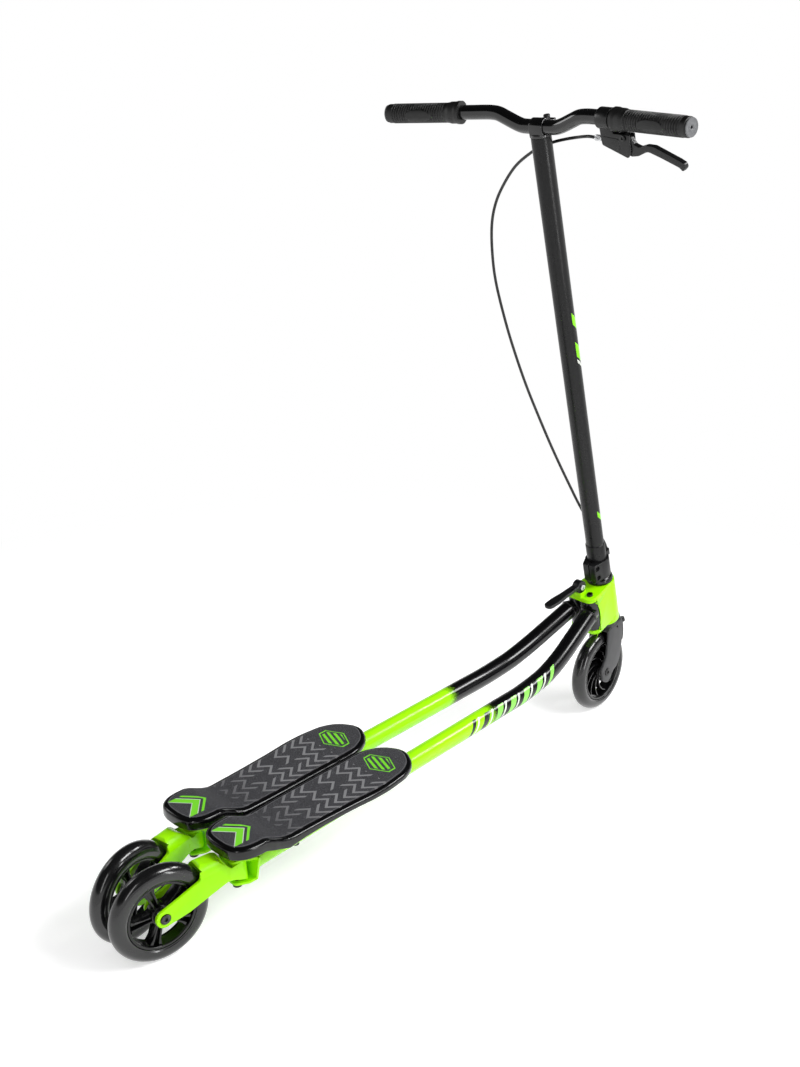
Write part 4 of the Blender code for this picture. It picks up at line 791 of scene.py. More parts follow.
green_enamel = gloss_paint("neon_green_enamel", GREEN, DEEP_GREEN, 0.3, 0.1, 0.2)
black_enamel = gloss_paint("gloss_black_enamel", "#050506", "#0B0B0C", 0.14, 0.5)
leg_enamel = leg_paint("faded_green_to_black_enamel")
column_coat = column_paint("satin_black_column_coat")
fork_coat = satin_paint("dark_grey_powder_coat", "#2E2E30", "#3A3A3C", 0.36, 0.4)
clamp_coat = satin_paint("black_powder_coat", "#121213", "#1E1E1F", 0.34, 0.35)
nylon = moulded_plastic("black_moulded_nylon", "#060607", "#0F0F10", 0.17)
lever_nylon = moulded_plastic("black_lever_nylon", "#0A0A0B", "#161617", 0.32)
grip_rubber = soft_rubber("black_grip_rubber", "#040404", "#0B0B0B", 0.5)
bumper_rubber = soft_rubber("black_bumper_rubber", "#0F0F10", "#1C1C1D", 0.6)
cable_skin = moulded_plastic("black_cable_sheath", "#121213", "#1E1E20", 0.32)
tread = cast_urethane("grey_cast_urethane", "#0E0E0F", "#19191A")
tape = grip_tape_material("printed_grip_tape")
black_oxide = machined_metal("black_oxide_steel", "#242426", 0.4)
zinc_steel = machined_metal("zinc_plated_steel", "#C9CACC", 0.26)
bare_aluminium = machined_metal("turned_aluminium", "#D6D7D9", 0.24)
plug_plastic = moulded_plastic("grey_moulded_plug", "#606163", "#707173", 0.5)


# Wheels, turned about x

def tyre(width, bore):
    """Half-round tread over a straight wall with a small bead at the rim."""
    half = width / 2
    a = np.radians(np.linspace(-90, 90, 25))
    crown = np.column_stack([WHEEL_RADIUS - half + half * np.cos(a), half * np.sin(a)])
    wall = [(bore, -half + 2.6), (bore + 0.8, -half + 1.5), (bore + 2.0, -half + 1.2),
            (bore + 2.8, -half + 0.5), (bore + 4.2, -half + 0.05)]
    profile = np.vstack([wall, crown, [(r, -h) for r, h in wall[::-1]]])
    return placed(turned(profile, 160), turn(90, "Y"))


def hub_rim(rim_radius, half):
    """Deep rim barrel with rolled lips."""
    outer = rim_radius - CLEAR
    inner = outer - 3.2
    lip = inner - 0.6
    section = [(outer, -half, 0.5), (outer, half, 0.5), (lip, half, 0.9), (lip, half - 2.2, 0.8),
               (inner, half - 3.4, 0.8), (inner, -half + 3.4, 0.8), (lip, -half + 2.2, 0.8),
               (lip, -half, 0.9)]
    return turned(rounded(section, 3), 144)


def hub_boss(half):
    """Bearing housing with a stepped face."""
    step = half - 1.6
    section = [(11.3, -half, 0.4), (BOSS_RADIUS, -half, 0.5), (BOSS_RADIUS, -step, 0.4), (15.4, -step, 0.8),
               (15.4, step, 0.8), (BOSS_RADIUS, step, 0.4), (BOSS_RADIUS, half, 0.5), (11.3, half, 0.4)]
    return turned(rounded(section, 3), 72)


def broad_spokes(rim_radius, half):
    """Five spokes, each a web between two ribs that flare into the rim and the boss."""
    reach = rim_radius - 2.4
    stations = ((BOSS_RADIUS, 4.2, 2.3), (20.0, 3.6, 1.5), (reach - 9, 4.6, 1.5), (reach, 6.6, 2.9))
    spokes = []
    for k in range(REAR_SPOKES):
        spin = turn(360 / REAR_SPOKES * k + 54, "Z")
        for side in (-1, 1):
            rib = [(x, side * middle - thick) for x, middle, thick in stations]
            rib += [(x, side * middle + thick) for x, middle, thick in stations[::-1]]
            spokes.append(placed(slab(rib, -half + 2.2, half - 2.2, 0.9), spin))
        web = [(BOSS_RADIUS, -3.6), (reach, -6.0), (reach, 6.0), (BOSS_RADIUS, 3.6)]
        spokes.append(placed(slab(web, -2.4, 2.4), spin))
    return spokes


def turbine_spokes(rim_radius, half):
    """Thin blades: a blade's angle grows with the radius, so that it curves."""
    start, stop = 14.6, rim_radius - 2.6
    radius = np.linspace(start, stop, 13)
    share = (radius - start) / (stop - start)
    half_angle = BLADE_THICKNESS / 2 / radius
    spokes = []
    for k in range(FRONT_SPOKES):
        lean = BLADE_SWEEP * share + 2 * np.pi * k / FRONT_SPOKES
        first, second = (np.column_stack([radius * np.cos(angle), radius * np.sin(angle)])
                         for angle in (lean - half_angle, lean + half_angle))
        spokes.append(slab(np.vstack([first, second[::-1]]), -half + 3.0, half - 3.0, 0.5, 2))
    return spokes


def hub(rim_radius, half, spokes):
    """Rim, boss and spokes of one moulding."""
    return placed(together(hub_rim(rim_radius, half), hub_boss(half), *spokes), turn(90, "Y"))


def ball_bearing(reach):
    """Two shielded bearings with the sleeve between the wheel and the fork."""
    one_side = [(4.3, reach), (6.4, reach), (6.4, 9.0), (8.2, 9.0), (8.2, 8.7), (9.6, 8.7), (9.6, 9.0),
                (11.0, 9.0)]
    section = [(radius, -x) for radius, x in one_side] + one_side[::-1]
    return placed(turned(section, 64), turn(90, "Y"))


def make_wheel(place, names, body, width, rim_radius, spokes_of, reach):
    """Tyre, hub and bearing of one wheel."""
    half = width / 2 - 2.0
    tyre_name, hub_name, bearing_name = names
    piece(tyre_name + "_cast", body, placed(tyre(width, rim_radius), place), tread, (tyre_name,))
    shape = hub(rim_radius, half, spokes_of(rim_radius - 3.5, half))
    piece(hub_name + "_moulded", body, placed(shape, place), nylon, (hub_name,))
    piece(bearing_name + "_shielded", body, placed(ball_bearing(reach), place), zinc_steel, (bearing_name,))


# Fasteners

def hexagon(radius):
    """Six corners on a circle."""
    return [(radius * math.cos(a), radius * math.sin(a)) for a in np.radians(np.arange(0, 360, 60))]


def socket_bolt(start, end, radius, head_radius, head_height, bite=0.52):
    """Socket head bolt with a rounded head and a six-sided recess; start is under the head."""
    length = (Vector(end) - Vector(start)).length
    crown = [(head_radius - 0.7 + 0.7 * math.sin(a), -head_height + 0.7 - 0.7 * math.cos(a))
             for a in np.linspace(0, math.pi / 2, 5)]
    profile = [(0, -head_height)] + crown + [(head_radius, 0), (radius, 0), (radius, length), (0, length)]
    recess = slab(hexagon(head_radius * bite), -head_height - 1, -head_height * 0.35)
    return placed(cut(turned(profile, 64), recess), aim(start, end))


def hex_nut(low, high, corner_radius, bore):
    """Six-sided nut with a bore."""
    body = slab(hexagon(corner_radius), low, high, 0.4, 2)
    return cut(body, upright((0, 0), low - 2, high + 2, bore))


# Steering head

def head_casting():
    """Cast head: barrel and two lobed plates, hollowed round the knuckles, with a saddle on top."""
    upper = HEAD_TOP - PLATE_THICKNESS
    lower = LOWER_PLATE_BOTTOM + PLATE_THICKNESS
    outline = arc((PIN_SIDE, -PIN_BACK), LOBE_RADIUS, -90, 8, 14)
    outline += arc((0, 0), HEAD_RADIUS - 0.6, 12, 168, 40)
    outline += arc((-PIN_SIDE, -PIN_BACK), LOBE_RADIUS, 172, 270, 14)
    body = slab(outline, LOWER_PLATE_BOTTOM, HEAD_TOP, 1.4)
    body = joined(body, upright((0, 0), HEAD_BOTTOM, HEAD_TOP, HEAD_RADIUS, 1.2, 96))
    saddle = rounded([(-8, -LOCK_BACK - 8, 2), (8, -LOCK_BACK - 8, 2), (8, -LOCK_BACK + 10, 3),
                      (-8, -LOCK_BACK + 10, 3)])
    body = joined(body, slab(saddle, HEAD_TOP - 2, LOCK_HEIGHT - 8.5, 0.8))
    middle = (upper + lower) / 2
    hollow_back = -PIN_BACK - 46.5
    hollow = crosswise((hollow_back, middle), -60, 60, 52.0, steps=144)
    hollow = boolean(hollow, block((-60, -120, lower), (60, 20, upper)), "INTERSECT")
    body = cut(body, hollow)
    for side in (-1, 1):
        x = side * PIN_SIDE
        body = cut(body, upright((x, -PIN_BACK), lower, upper, KNUCKLE_RADIUS + 0.9),
                   upright((x, -PIN_BACK), 180, 280, PIN_HOLE))
    lock_room = LOCK_HUB_RADIUS + 0.4
    return cut(body, upright((0, 0), 170, 280, STEERER_RADIUS + 1.2),
               upright((0, 0), 170, HEAD_BOTTOM + BEARING_SEAT_DEPTH, BEARING_SEAT_RADIUS),
               upright((0, 0), HEAD_TOP - BEARING_SEAT_DEPTH, 280, BEARING_SEAT_RADIUS),
               crosswise((-LOCK_BACK, LOCK_HEIGHT), -20, 20, lock_room))


def lock_lever():
    """Channel lever: hub with two cheeks, tapering neck and a rounded paddle."""
    hub_part = crosswise((0, 0), -7.0, 7.0, LOCK_HUB_RADIUS, 0.8)
    lean = math.degrees(math.atan2(LOCK_RISE, LOCK_LENGTH))
    end = -LOCK_LENGTH
    top = [(-7.0, 0.0, 0), (-7.6, -40.0, 20), (-9.6, -64.0, 12), (-8.6, end, 8), (8.6, end, 8),
           (9.6, -64.0, 12), (7.6, -40.0, 20), (7.0, 0.0, 0)]
    arm = slab(rounded(top), -1.0, 5.0, 1.2)
    hollow = [(-4.6, -14.0, 2), (-5.2, -40.0, 10), (-7.0, -64.0, 6), (-6.0, end + 7.0, 5),
              (6.0, end + 7.0, 5), (7.0, -64.0, 6), (5.2, -40.0, 10), (4.6, -14.0, 2)]
    arm = cut(arm, slab(rounded(hollow), -5.0, 2.2))
    body = joined(hub_part, placed(arm, turn(-lean, "X")))
    body = cut(body, crosswise((0, 0), -20, 20, 3.3), block((-2.9, -8.6, -14), (2.9, 14, 7.0)))
    return placed(body, shift(0, -LOCK_BACK, LOCK_HEIGHT))


def make_head():
    casting = placed(head_casting(), HEAD)
    piece("steering_head_cast", "frame", casting, green_enamel, ("head_casting",), edge=0.7)
    for name, side in SIDES:
        x = side * PIN_SIDE
        top, foot = (x, -PIN_BACK, HEAD_TOP + CLEAR), (x, -PIN_BACK, LOWER_PLATE_BOTTOM)
        pin = placed(socket_bolt(top, foot, 3.0, 5.6, 3.6), HEAD)
        piece("leg_pin_screw_" + name, "frame", pin, black_oxide, ("leg_pin_bolt_" + name,))
    axle = socket_bolt((7.4, -LOCK_BACK, LOCK_HEIGHT), (-9.0, -LOCK_BACK, LOCK_HEIGHT), 3.0, 5.6, 3.2, 0.45)
    piece("lock_axle_screw", "frame", placed(axle, HEAD), bare_aluminium, ("lock_lever_axle",))
    lever = placed(lock_lever(), HEAD)
    piece("lock_lever_moulded", "lock_lever", lever, lever_nylon, ("lock_lever",), edge=0.4)
    nut = hex_nut(LOWER_PLATE_BOTTOM - 5.5, LOWER_PLATE_BOTTOM - CLEAR, 5.2, 2.5)
    nut = placed(nut, HEAD @ shift(0, -LOCK_BACK, 0))
    piece("draw_bolt_nut", "frame", nut, zinc_steel, ("lock_draw_nut",))


# Steering

def fork():
    """Cast fork: side outline with a bell foot, the wheel's slot, and the steerer tube."""
    shape = [(21.9, 80.9, 7), (16.3, 65.3, 8), (12.0, 53.3, 30), (5.8, 34.2, 30), (-5.0, 23.4, 12),
             (-17.2, 15.5, 11), (-18.0, -9.0, 12), (-6.0, -20.0, 11), (6.0, -21.5, 8), (18.0, -10.5, 14),
             (33.0, -7.0, 14), (43.5, 2.5, 14), (56.5, 29.0, 24), (64.0, 53.0, 24), (69.5, 81.0, 7)]
    outline = rounded([(AXLE_Y + x, AXLE_Z + y, radius) for x, y, radius in shape], 8)
    blades = placed(slab(outline, -21.2, 21.2, 2.2, 4), SIDE)
    seat = upright((0, 0), CROWN_TOP - 6, HEAD_BOTTOM - CLEAR, 20.8, 0.8)
    body = joined(blades, seat, upright((0, 0), CROWN_TOP, 310, STEERER_RADIUS))
    slot = crosswise((AXLE_Y, AXLE_Z), -FORK_HALF_GAP, FORK_HALF_GAP, WHEEL_RADIUS + 3.5, steps=144)
    body = cut(body, upright((0, 0), 110, 320, STEERER_RADIUS - 2.2), slot,
               crosswise((AXLE_Y, AXLE_Z), -30, 30, AXLE_HOLE),
               crosswise((AXLE_Y, AXLE_Z), 19.4, 30, 7.2),
               crosswise((6.0, 161.0), 18.0, 30, 2.4))
    return body


def clamp_heights():
    """Heights of the column clamp's two bolts."""
    middle = (CLAMP_BOTTOM + CLAMP_TOP) / 2
    return middle + 9.8, middle - 9.8


def column_clamp():
    """Split collar whose flanks run into its ears, with the cable's guide eye."""
    flank = CLAMP_RADIUS - 0.8
    ears = rounded([(flank, -4.0, 0), (12.5, -28.0, 2.5), (-12.5, -28.0, 2.5), (-flank, -4.0, 0)])
    eye = rounded([(5.4, 16, 0), (5.4, 36, 5), (-5.4, 36, 5), (-5.4, 16, 0)])
    body = upright((0, 0), CLAMP_BOTTOM, CLAMP_TOP, CLAMP_RADIUS, 1.2, 96)
    body = joined(body, slab(ears, CLAMP_BOTTOM, CLAMP_TOP, 1.2),
                  slab(eye, CLAMP_TOP - 12, CLAMP_TOP - 1, 0.6))
    body = cut(body, upright((0, 0), 270, 320, TUBE_RADIUS + CLEAR),
               block((-0.9, -35, 270), (0.9, -10, 320)),
               upright((0, WIRE_AHEAD), 295, 320, 3.3))
    for height in clamp_heights():
        body = cut(body, crosswise((-CLAMP_BOLT_BACK, height), -20, 20, 2.8),
                   crosswise((-CLAMP_BOLT_BACK, height), 10.0, 20, 4.9))
    return body


def column():
    """Thin tube with its wider sleeve; the first ring of a lathe profile runs up the outside."""
    sleeve = TUBE_RADIUS + 1.4
    low = CLAMP_TOP + CLEAR
    profile = [(TUBE_RADIUS, CLAMP_BOTTOM + 0.2), (TUBE_RADIUS, low), (sleeve - 0.4, low),
               (sleeve, low + 0.4), (sleeve, CLAMP_TOP + 30), (sleeve - 0.5, CLAMP_TOP + 31.2),
               (TUBE_RADIUS, CLAMP_TOP + 31.8)]
    profile += [(TUBE_RADIUS, h) for h in np.linspace(CLAMP_TOP + 34, COLUMN_TOP, 60)]
    profile += [(14.4, COLUMN_TOP), (14.4, CLAMP_BOTTOM + 0.2)]
    return turned(profile, 96)


def stem_clamp():
    """Split bar clamp with front ears, on a short neck."""
    plug = upright((0, 0), COLUMN_TOP - 25, COLUMN_TOP + 2, 14.1)
    neck = upright((0, 0), COLUMN_TOP + CLEAR, COLUMN_TOP + 5, TUBE_RADIUS, 0.8)
    shape = [(-12.5, -13.5)] + arc((0, 0), BAR_RADIUS + 2.5, 180, 60, 16)
    shape += [(13.0, 5.5), (STEM_BOLT_AHEAD + 6.4, 5.5), (STEM_BOLT_AHEAD + 6.4, -6.5), (13.0, -13.5)]
    ears = slab([(x, BAR_HEIGHT + z) for x, z in shape], -STEM_HALF_WIDTH, STEM_HALF_WIDTH, 1.0)
    body = joined(plug, neck, placed(ears, SIDE))
    return cut(body, crosswise((0, BAR_HEIGHT), -40, 40, BAR_RADIUS + 0.2),
               block((-40, 8, BAR_HEIGHT - 0.8), (40, 40, BAR_HEIGHT + 0.8)),
               upright((0, STEM_BOLT_AHEAD), BAR_HEIGHT - 30, BAR_HEIGHT + 30, 3.3))


def bar_curve():
    """Bent handlebar: level middle, two rising bends, swept straight ends."""
    slope = math.tan(math.radians(BAR_SWEEP))
    right = [(22, 0, 0), (32, 0, 0.8), (44, 0, 4.9), (60, 0, 12.0), (73, 0, BAR_RISE - 1.7),
             (86, -0.2, BAR_RISE - 0.1), (100, -8 * slope, BAR_RISE), (118, -26 * slope, BAR_RISE),
             (136, -44 * slope, BAR_RISE)]
    right += [(x, -(x - BAR_STRAIGHT_START) * slope, BAR_RISE) for x in (170, 220, BAR_HALF_LENGTH)]
    points = [(-x, y, z) for x, y, z in right[::-1]] + [(0, 0, 0)] + right
    points = np.array(points) + np.array([0, 0, BAR_HEIGHT])
    return even(smooth_curve(points, 400), 3.0)


def grip():
    """Ribbed grip: radius = base + ribs along x, held level over an oval pad in front and behind."""
    x = np.linspace(-GRIP_LENGTH, -0.6, 420)
    t = np.linspace(0, 2 * np.pi, 96, endpoint=False)
    flange = 17.5 - 0.9 * np.clip((x + GRIP_LENGTH - 5) / 4, 0, 1) - 1.4 * np.clip((x + 116) / 6, 0, 1)
    base = np.where(x < -108, flange, 14.6)
    pitch = 4.4
    ribs = 0.55 * np.clip(2.6 * np.cos(2 * np.pi * (x + 108) / pitch), -1, 1)
    inside = (x > -106) & (x < -10)
    along = (x + 60) / 22.0
    across = np.minimum(np.minimum(t, 2 * np.pi - t), np.abs(t - np.pi)) * 15 / 9.5
    pad = along[:, None] ** 2 + across[None, :] ** 2
    keep = np.clip((pad - 1.0) * 4, 0, 1)
    radius = base[:, None] + np.where(inside, ribs, 0)[:, None] * keep
    radius = radius + np.where(inside, 1.1, 0)[:, None] * (1 - keep)
    radius = radius + (0.5 * inside)[:, None] * (across[None, :] < 0.1) * keep
    radius = radius - 1.6 * np.clip((x[:, None] + 2.2) / 1.6, 0, 1) ** 2
    outside = np.stack([x[:, None] + 0 * t, radius * np.cos(t), radius * np.sin(t)], axis=-1)
    bore = BAR_RADIUS + 0.2
    ends = np.array([-0.6, -GRIP_LENGTH])
    inner = np.stack([ends[:, None] + 0 * t, bore * np.cos(t) + 0 * ends[:, None],
                      bore * np.sin(t) + 0 * ends[:, None]], axis=-1)
    return skin(np.concatenate([outside, inner]), loop=True)


def bar_plug():
    """End disc with a raised rim, a dished face and a centre hole."""
    profile = [(2.4, -16), (8.6, -16), (8.6, 0.3), (13.4, 0.3), (13.7, 1.0), (13.4, 2.2), (12.6, 2.4),
               (11.6, 2.0), (6.2, 2.0), (5.2, 2.5), (3.6, 2.4), (2.4, 1.4)]
    return placed(turned(profile, 72), turn(90, "Y"))


def lever_housing():
    """Bar collar and lever housing in one, slotted for the lever."""
    collar = crosswise((0, 0), -160, -137, 15.6, 1.2)
    shape = [(-160.0, -6.0, 0), (-157.0, -37.8, 4), (-110.0, -53.5, 4), (-104.5, -44.0, 4),
             (-104.5, -19.0, 2), (-134.5, -19.0, 0), (-137.0, -14.0, 0), (-137.0, -6.0, 0)]
    house = placed(slab(rounded(shape), -7.2, 7.2, 1.4), FACE)
    ledge = rounded([(-156, -24, 3), (-152, -36, 3), (-124, -44, 3), (-124, -26, 3)])
    body = joined(collar, house, placed(slab(ledge, 5.0, 8.0, 0.8), FACE))
    pivot_x, pivot_z = LEVER_PIVOT
    return cut(body, crosswise((0, 0), -170, -120, BAR_RADIUS + 0.2),
               block((-128.0, -4.9, -60), (-90, 4.9, -10)),
               crosswise((0, WIRE_LINE), -170, -120, 3.2),
               rod((pivot_x, -20, pivot_z), (pivot_x, 20, pivot_z), 2.8),
               crosswise((8.5, -22), -160, -130, 0.8))


def brake_lever():
    """Finger lever: hooked root, shallow finger hollow and a turned-down tip."""
    pivot_x, pivot_z = LEVER_PIVOT
    shape = [(pivot_x - 4.4, pivot_z + 1.5, 3), (pivot_x, pivot_z + 4.4, 4),
             (pivot_x + 10.0, pivot_z + 1.0, 5), (-99.0, -32.5, 4), (-90.0, -35.6, 7),
             (-78.0, -31.6, 9), (-64.0, -31.8, 12), (-45.0, -38.6, 40), (-22.0, -46.8, 25),
             (-12.8, -51.0, 5), (-10.8, -57.0, 4), (-16.5, -63.5, 2.5), (-22.5, -58.5, 6),
             (-52.0, -48.4, 30), (-76.5, -41.0, 14), (-94.0, -49.4, 12), (-107.0, -51.5, 6),
             (pivot_x - 5.0, -41.0, 6), (pivot_x - 5.5, -33.0, 4)]
    body = placed(slab(rounded(shape, 8), -4.5, 4.5, 1.9, 4), FACE)
    return cut(body, rod((pivot_x, -20, pivot_z), (pivot_x, 20, pivot_z), 2.8))


def adjuster():
    """Knurled barrel adjuster: radius waves round the barrel, with its lock ring."""
    t = np.linspace(0, 2 * np.pi, 144, endpoint=False)
    x = np.array([0, 0.6, 1.4, 9.6, 10.4, 10.5, 12.0, 12.1, 13.9, 14.0, 22.0])
    base = np.array([3.0, 3.9, 4.2, 4.2, 3.6, 3.2, 3.2, 4.2, 4.2, 2.9, 2.9])
    wave = np.array([0, 0.1, 0.22, 0.22, 0.1, 0, 0, 0, 0, 0, 0])
    radius = base[:, None] + wave[:, None] * np.cos(24 * t)
    outside = np.stack([radius * np.cos(t), radius * np.sin(t), x[:, None] + 0 * t], axis=-1)
    ends = np.array([22.0, 0.0])[:, None]
    inside = np.stack([1.2 * np.cos(t) + 0 * ends, 1.2 * np.sin(t) + 0 * ends, ends + 0 * t], axis=-1)
    place = aim((-174.2, 0, WIRE_LINE), (-150, 0, WIRE_LINE))
    return placed(skin(np.concatenate([outside, inside]), loop=True), place)


def cable_curve():
    """Route of the outer cable in the steering frame, lever end first."""
    to_steer = STEER.inverted() @ grip_frame(1)
    start = to_steer @ Vector((-174.5, 0, WIRE_LINE))
    inwards = to_steer @ Vector((-190.0, 0, WIRE_LINE))
    loop = [(50.0, 17.5, 1076.8), (27.0, 20.5, 1071.8), (4.5, 22.5, 1065.8), (-20.0, 24.0, 1057.0),
            (-44.0, 25.5, 1044.8), (-77.5, 29.0, 1021.8), (-108.0, 32.5, 990.0), (-133.0, 35.0, 955.0),
            (-150.5, 37.5, 915.0), (-162.0, 41.0, 862.0), (-166.2, 43.5, 806.0), (-160.8, 46.0, 732.0),
            (-151.3, 47.0, 671.8), (-137.6, 47.0, 611.5), (-118.8, 46.0, 550.8), (-97.2, 44.0, 490.6),
            (-71.8, 41.0, 431.3), (-46.8, 37.5, 381.0), (-21.0, 34.0, 349.0),
            (-6.2, WIRE_AHEAD + 0.3, 331.0), (-0.7, WIRE_AHEAD, 317.0)]
    loop += [(0.0, WIRE_AHEAD, height) for height in (303.0, 285.0, 245.0, CABLE_END - 3.3)]
    return even(smooth_curve([tuple(start), tuple(inwards)] + loop, 1200), 4.0)


def brake_bracket():
    """Pressed bracket on the fork crown with the cable stop."""
    side_view = [(22.0, 142.6, 0), (26.4, 166.8, 0), (28.6, 173.0, 2), (28.6, 187.0, 1), (36.4, 187.0, 1),
                 (36.4, 181.0, 3), (34.0, 172.0, 3), (36.0, 158.0, 6), (48.6, 152.5, 5), (48.6, 141.9, 5),
                 (32.0, 141.6, 3)]
    body = placed(slab(rounded(side_view, 5), -9.0, 9.0, 0.8), SIDE)
    body = joined(body, upright((0, WIRE_AHEAD), 180, CABLE_END - 3.6, 3.5, 0.5))
    return cut(body, block((5.0, 20, 170), (12, 60, 190)), block((-12, 20, 170), (-5.0, 60, 190)),
               block((-5.4, 28.8, 130), (5.4, 60, 169.5)),
               upright((0, WIRE_AHEAD), 160, 220, WIRE_RADIUS + 0.5),
               crosswise(BRAKE_PIVOT, -20, 20, 2.3))


def brake_arm():
    """Arm on the pivot: notched horn for the wire above and shoe carrier below."""
    axle = (AXLE_Y, AXLE_Z)
    up = BRAKE_PIVOT[1]
    outline = arc(BRAKE_PIVOT, 4.6, -20, 130, 10)
    outline += [(38.6, up + 10.5), (36.4, up + 12.8), (29.6, up + 12.8), (29.6, up + HORN_RISE),
                (35.0, up + HORN_RISE), (35.0, up + 2.0)]
    outline += arc(axle, WHEEL_RADIUS + 9.9, 33.5, 17.5, 12)
    outline += [(38.2, 103.2), (40.6, 104.2), (43.8, 112.0), (46.0, 122.0), (47.6, 134.0)]
    body = placed(slab(outline, -5.0, 5.0, 0.5), SIDE)
    return cut(body, block((-1.3, 20, up + 4), (1.3, 35.0, up + 30)),
               crosswise(BRAKE_PIVOT, -20, 20, 2.3))


def brake_pad():
    """Curved shoe, grooved across its middle."""
    axle = (AXLE_Y, AXLE_Z)
    outline = []
    for gap, start, end, count in ((3.2, 18.5, 24.6, 6), (4.2, 25.0, 26.0, 2), (3.2, 26.4, 32.5, 6),
                                   (9.6, 32.5, 18.5, 12)):
        outline += arc(axle, WHEEL_RADIUS + gap, start, end, count)
    return placed(slab(outline, -4.8, 4.8, 0.4), SIDE)


def wire_end():
    """Inner wire with its end barrel under the horn."""
    under = BRAKE_PIVOT[1] + HORN_RISE - 0.5
    top = CABLE_END - 8
    profile = rounded([(0, under - 4.0, 0), (2.2, under - 4.0, 0.5), (2.2, under, 0.5),
                       (WIRE_RADIUS, under, 0.2), (WIRE_RADIUS, top, 0), (0, top, 0)], 3)
    return placed(turned(profile, 32), shift(0, WIRE_AHEAD, 0))


def column_marks(thing):
    """Attributes for the flash: millimetres round the tube from its right side, and height."""
    mesh = thing.data
    turned_back = np.array(STEER.inverted())
    local = vertex_places(mesh) @ turned_back[:3, :3].T + turned_back[:3, 3]
    around = np.arctan2(local[:, 1], local[:, 0]) * TUBE_RADIUS
    for name, values in (("around", around), ("height", local[:, 2])):
        mesh.attributes.new(name, "FLOAT", "POINT").data.foreach_set("value", values.astype(np.float32))


def make_steering():
    body = "steering"
    piece("fork_cast", body, placed(fork(), STEER), fork_coat, ("front_fork",), edge=0.6)
    axle = socket_bolt((19.7, AXLE_Y, AXLE_Z), (-21.2, AXLE_Y, AXLE_Z), 4.0, 6.8, 3.0, 0.45)
    piece("front_axle_screw", body, placed(axle, STEER), black_oxide, ("front_axle_bolt",))
    cap = rounded([(14.4, HEAD_TOP + CLEAR, 0), (24.0, HEAD_TOP + CLEAR, 0.6), (24.2, HEAD_TOP + 4, 0.6),
                   (23.0, CAP_TOP - 3, 1.5), (20.5, CAP_TOP, 1.2), (14.4, CAP_TOP, 0)], 4)
    piece("headset_cap_moulded", body, placed(turned(cap), STEER), nylon, ("headset_cap",))
    piece("column_clamp_forged", body, placed(column_clamp(), STEER), clamp_coat, ("column_clamp",),
          edge=0.4)
    for name, level in zip(("upper", "lower"), clamp_heights()):
        screw = socket_bolt((10.0, -CLAMP_BOLT_BACK, level), (-12.0, -CLAMP_BOLT_BACK, level),
                            2.5, 4.6, 2.6)
        piece("clamp_screw_" + name, body, placed(screw, STEER), black_oxide, ("clamp_bolt_" + name,))
    tube = piece("column_tube", body, placed(column(), STEER), column_coat, ("steering_column",))
    column_marks(tube)
    piece("bar_clamp_forged", body, placed(stem_clamp(), STEER), black_enamel, ("stem_clamp",), edge=0.4)
    top = BAR_HEIGHT + 5.5 + CLEAR
    screw = socket_bolt((0, STEM_BOLT_AHEAD, top), (0, STEM_BOLT_AHEAD, BAR_HEIGHT - 5), 3.0, 5.0, 6.0)
    piece("bar_clamp_screw", body, placed(screw, STEER), black_oxide, ("stem_bolt",))
    bar = pipe(bar_curve(), BAR_RADIUS, (0, 1, 0), BAR_RADIUS - 2.2, 64)
    piece("bent_handlebar", body, placed(bar, STEER), black_enamel, ("handlebar",))
    for name, side in SIDES:
        place = grip_frame(side)
        handle = placed(sided(grip(), side), place)
        piece("ribbed_grip_" + name, body, handle, grip_rubber, ("grip_" + name,))
        plug = placed(sided(bar_plug(), side), place)
        piece("end_plug_" + name, body, plug, plug_plastic, ("bar_plug_" + name,))


def make_brake():
    place = grip_frame(1)
    pivot_x, pivot_z = LEVER_PIVOT
    piece("lever_housing_moulded", "steering", placed(lever_housing(), place), lever_nylon,
          ("brake_lever_bracket",), edge=0.3)
    screw = socket_bolt((pivot_x, -7.5, pivot_z), (pivot_x, 7.0, pivot_z), 2.5, 4.6, 2.2)
    piece("lever_pivot_screw", "steering", placed(screw, place), black_oxide, ("lever_pivot_bolt",))
    piece("barrel_adjuster", "steering", placed(adjuster(), place), bare_aluminium, ("cable_adjuster",))
    cable = pipe(cable_curve(), CABLE_RADIUS, (0, 1, 0), 0.0, 24)
    piece("brake_cable_sheath", "steering", placed(cable, STEER), cable_skin, ("brake_cable",))
    piece("brake_bracket_pressed", "steering", placed(brake_bracket(), STEER), clamp_coat,
          ("brake_bracket",), edge=0.3)
    pin = socket_bolt((9.3, *BRAKE_PIVOT), (-9.3, *BRAKE_PIVOT), 2.0, 3.4, 1.6)
    piece("brake_arm_screw", "steering", placed(pin, STEER), black_oxide, ("brake_arm_pin",))
    piece("finger_lever", "brake_lever", placed(brake_lever(), place), lever_nylon, ("brake_lever",))
    piece("brake_arm_pressed", "brake_arm", placed(brake_arm(), STEER), clamp_coat, ("brake_arm",))
    piece("brake_shoe", "brake_arm", placed(brake_pad(), STEER), bumper_rubber, ("brake_pad",))
    piece("inner_wire", "brake_wire", placed(wire_end(), STEER), zinc_steel, ("brake_wire",))


# Legs; the right one is built and the left is its mirror image

def leg_points():
    """Centre line points of the right leg tube, rear end first."""
    joint = HEAD @ Vector((21.6, -67.0, 234.0))
    bends = [(23.3, -258.0, -75.0), (22.5, -206.0, -71.4), (20.0, -151.0, -63.0), (17.4, -121.5, -54.8),
             (13.8, -91.0, -43.2), (9.0, -58.5, -28.3)]
    front = [joint + Vector(bend) for bend in bends] + [joint]
    rear = caster_frame(1) @ Vector((0, BRACKET_FRONT + BRACKET_WALL - 1, 0))
    return rear, front


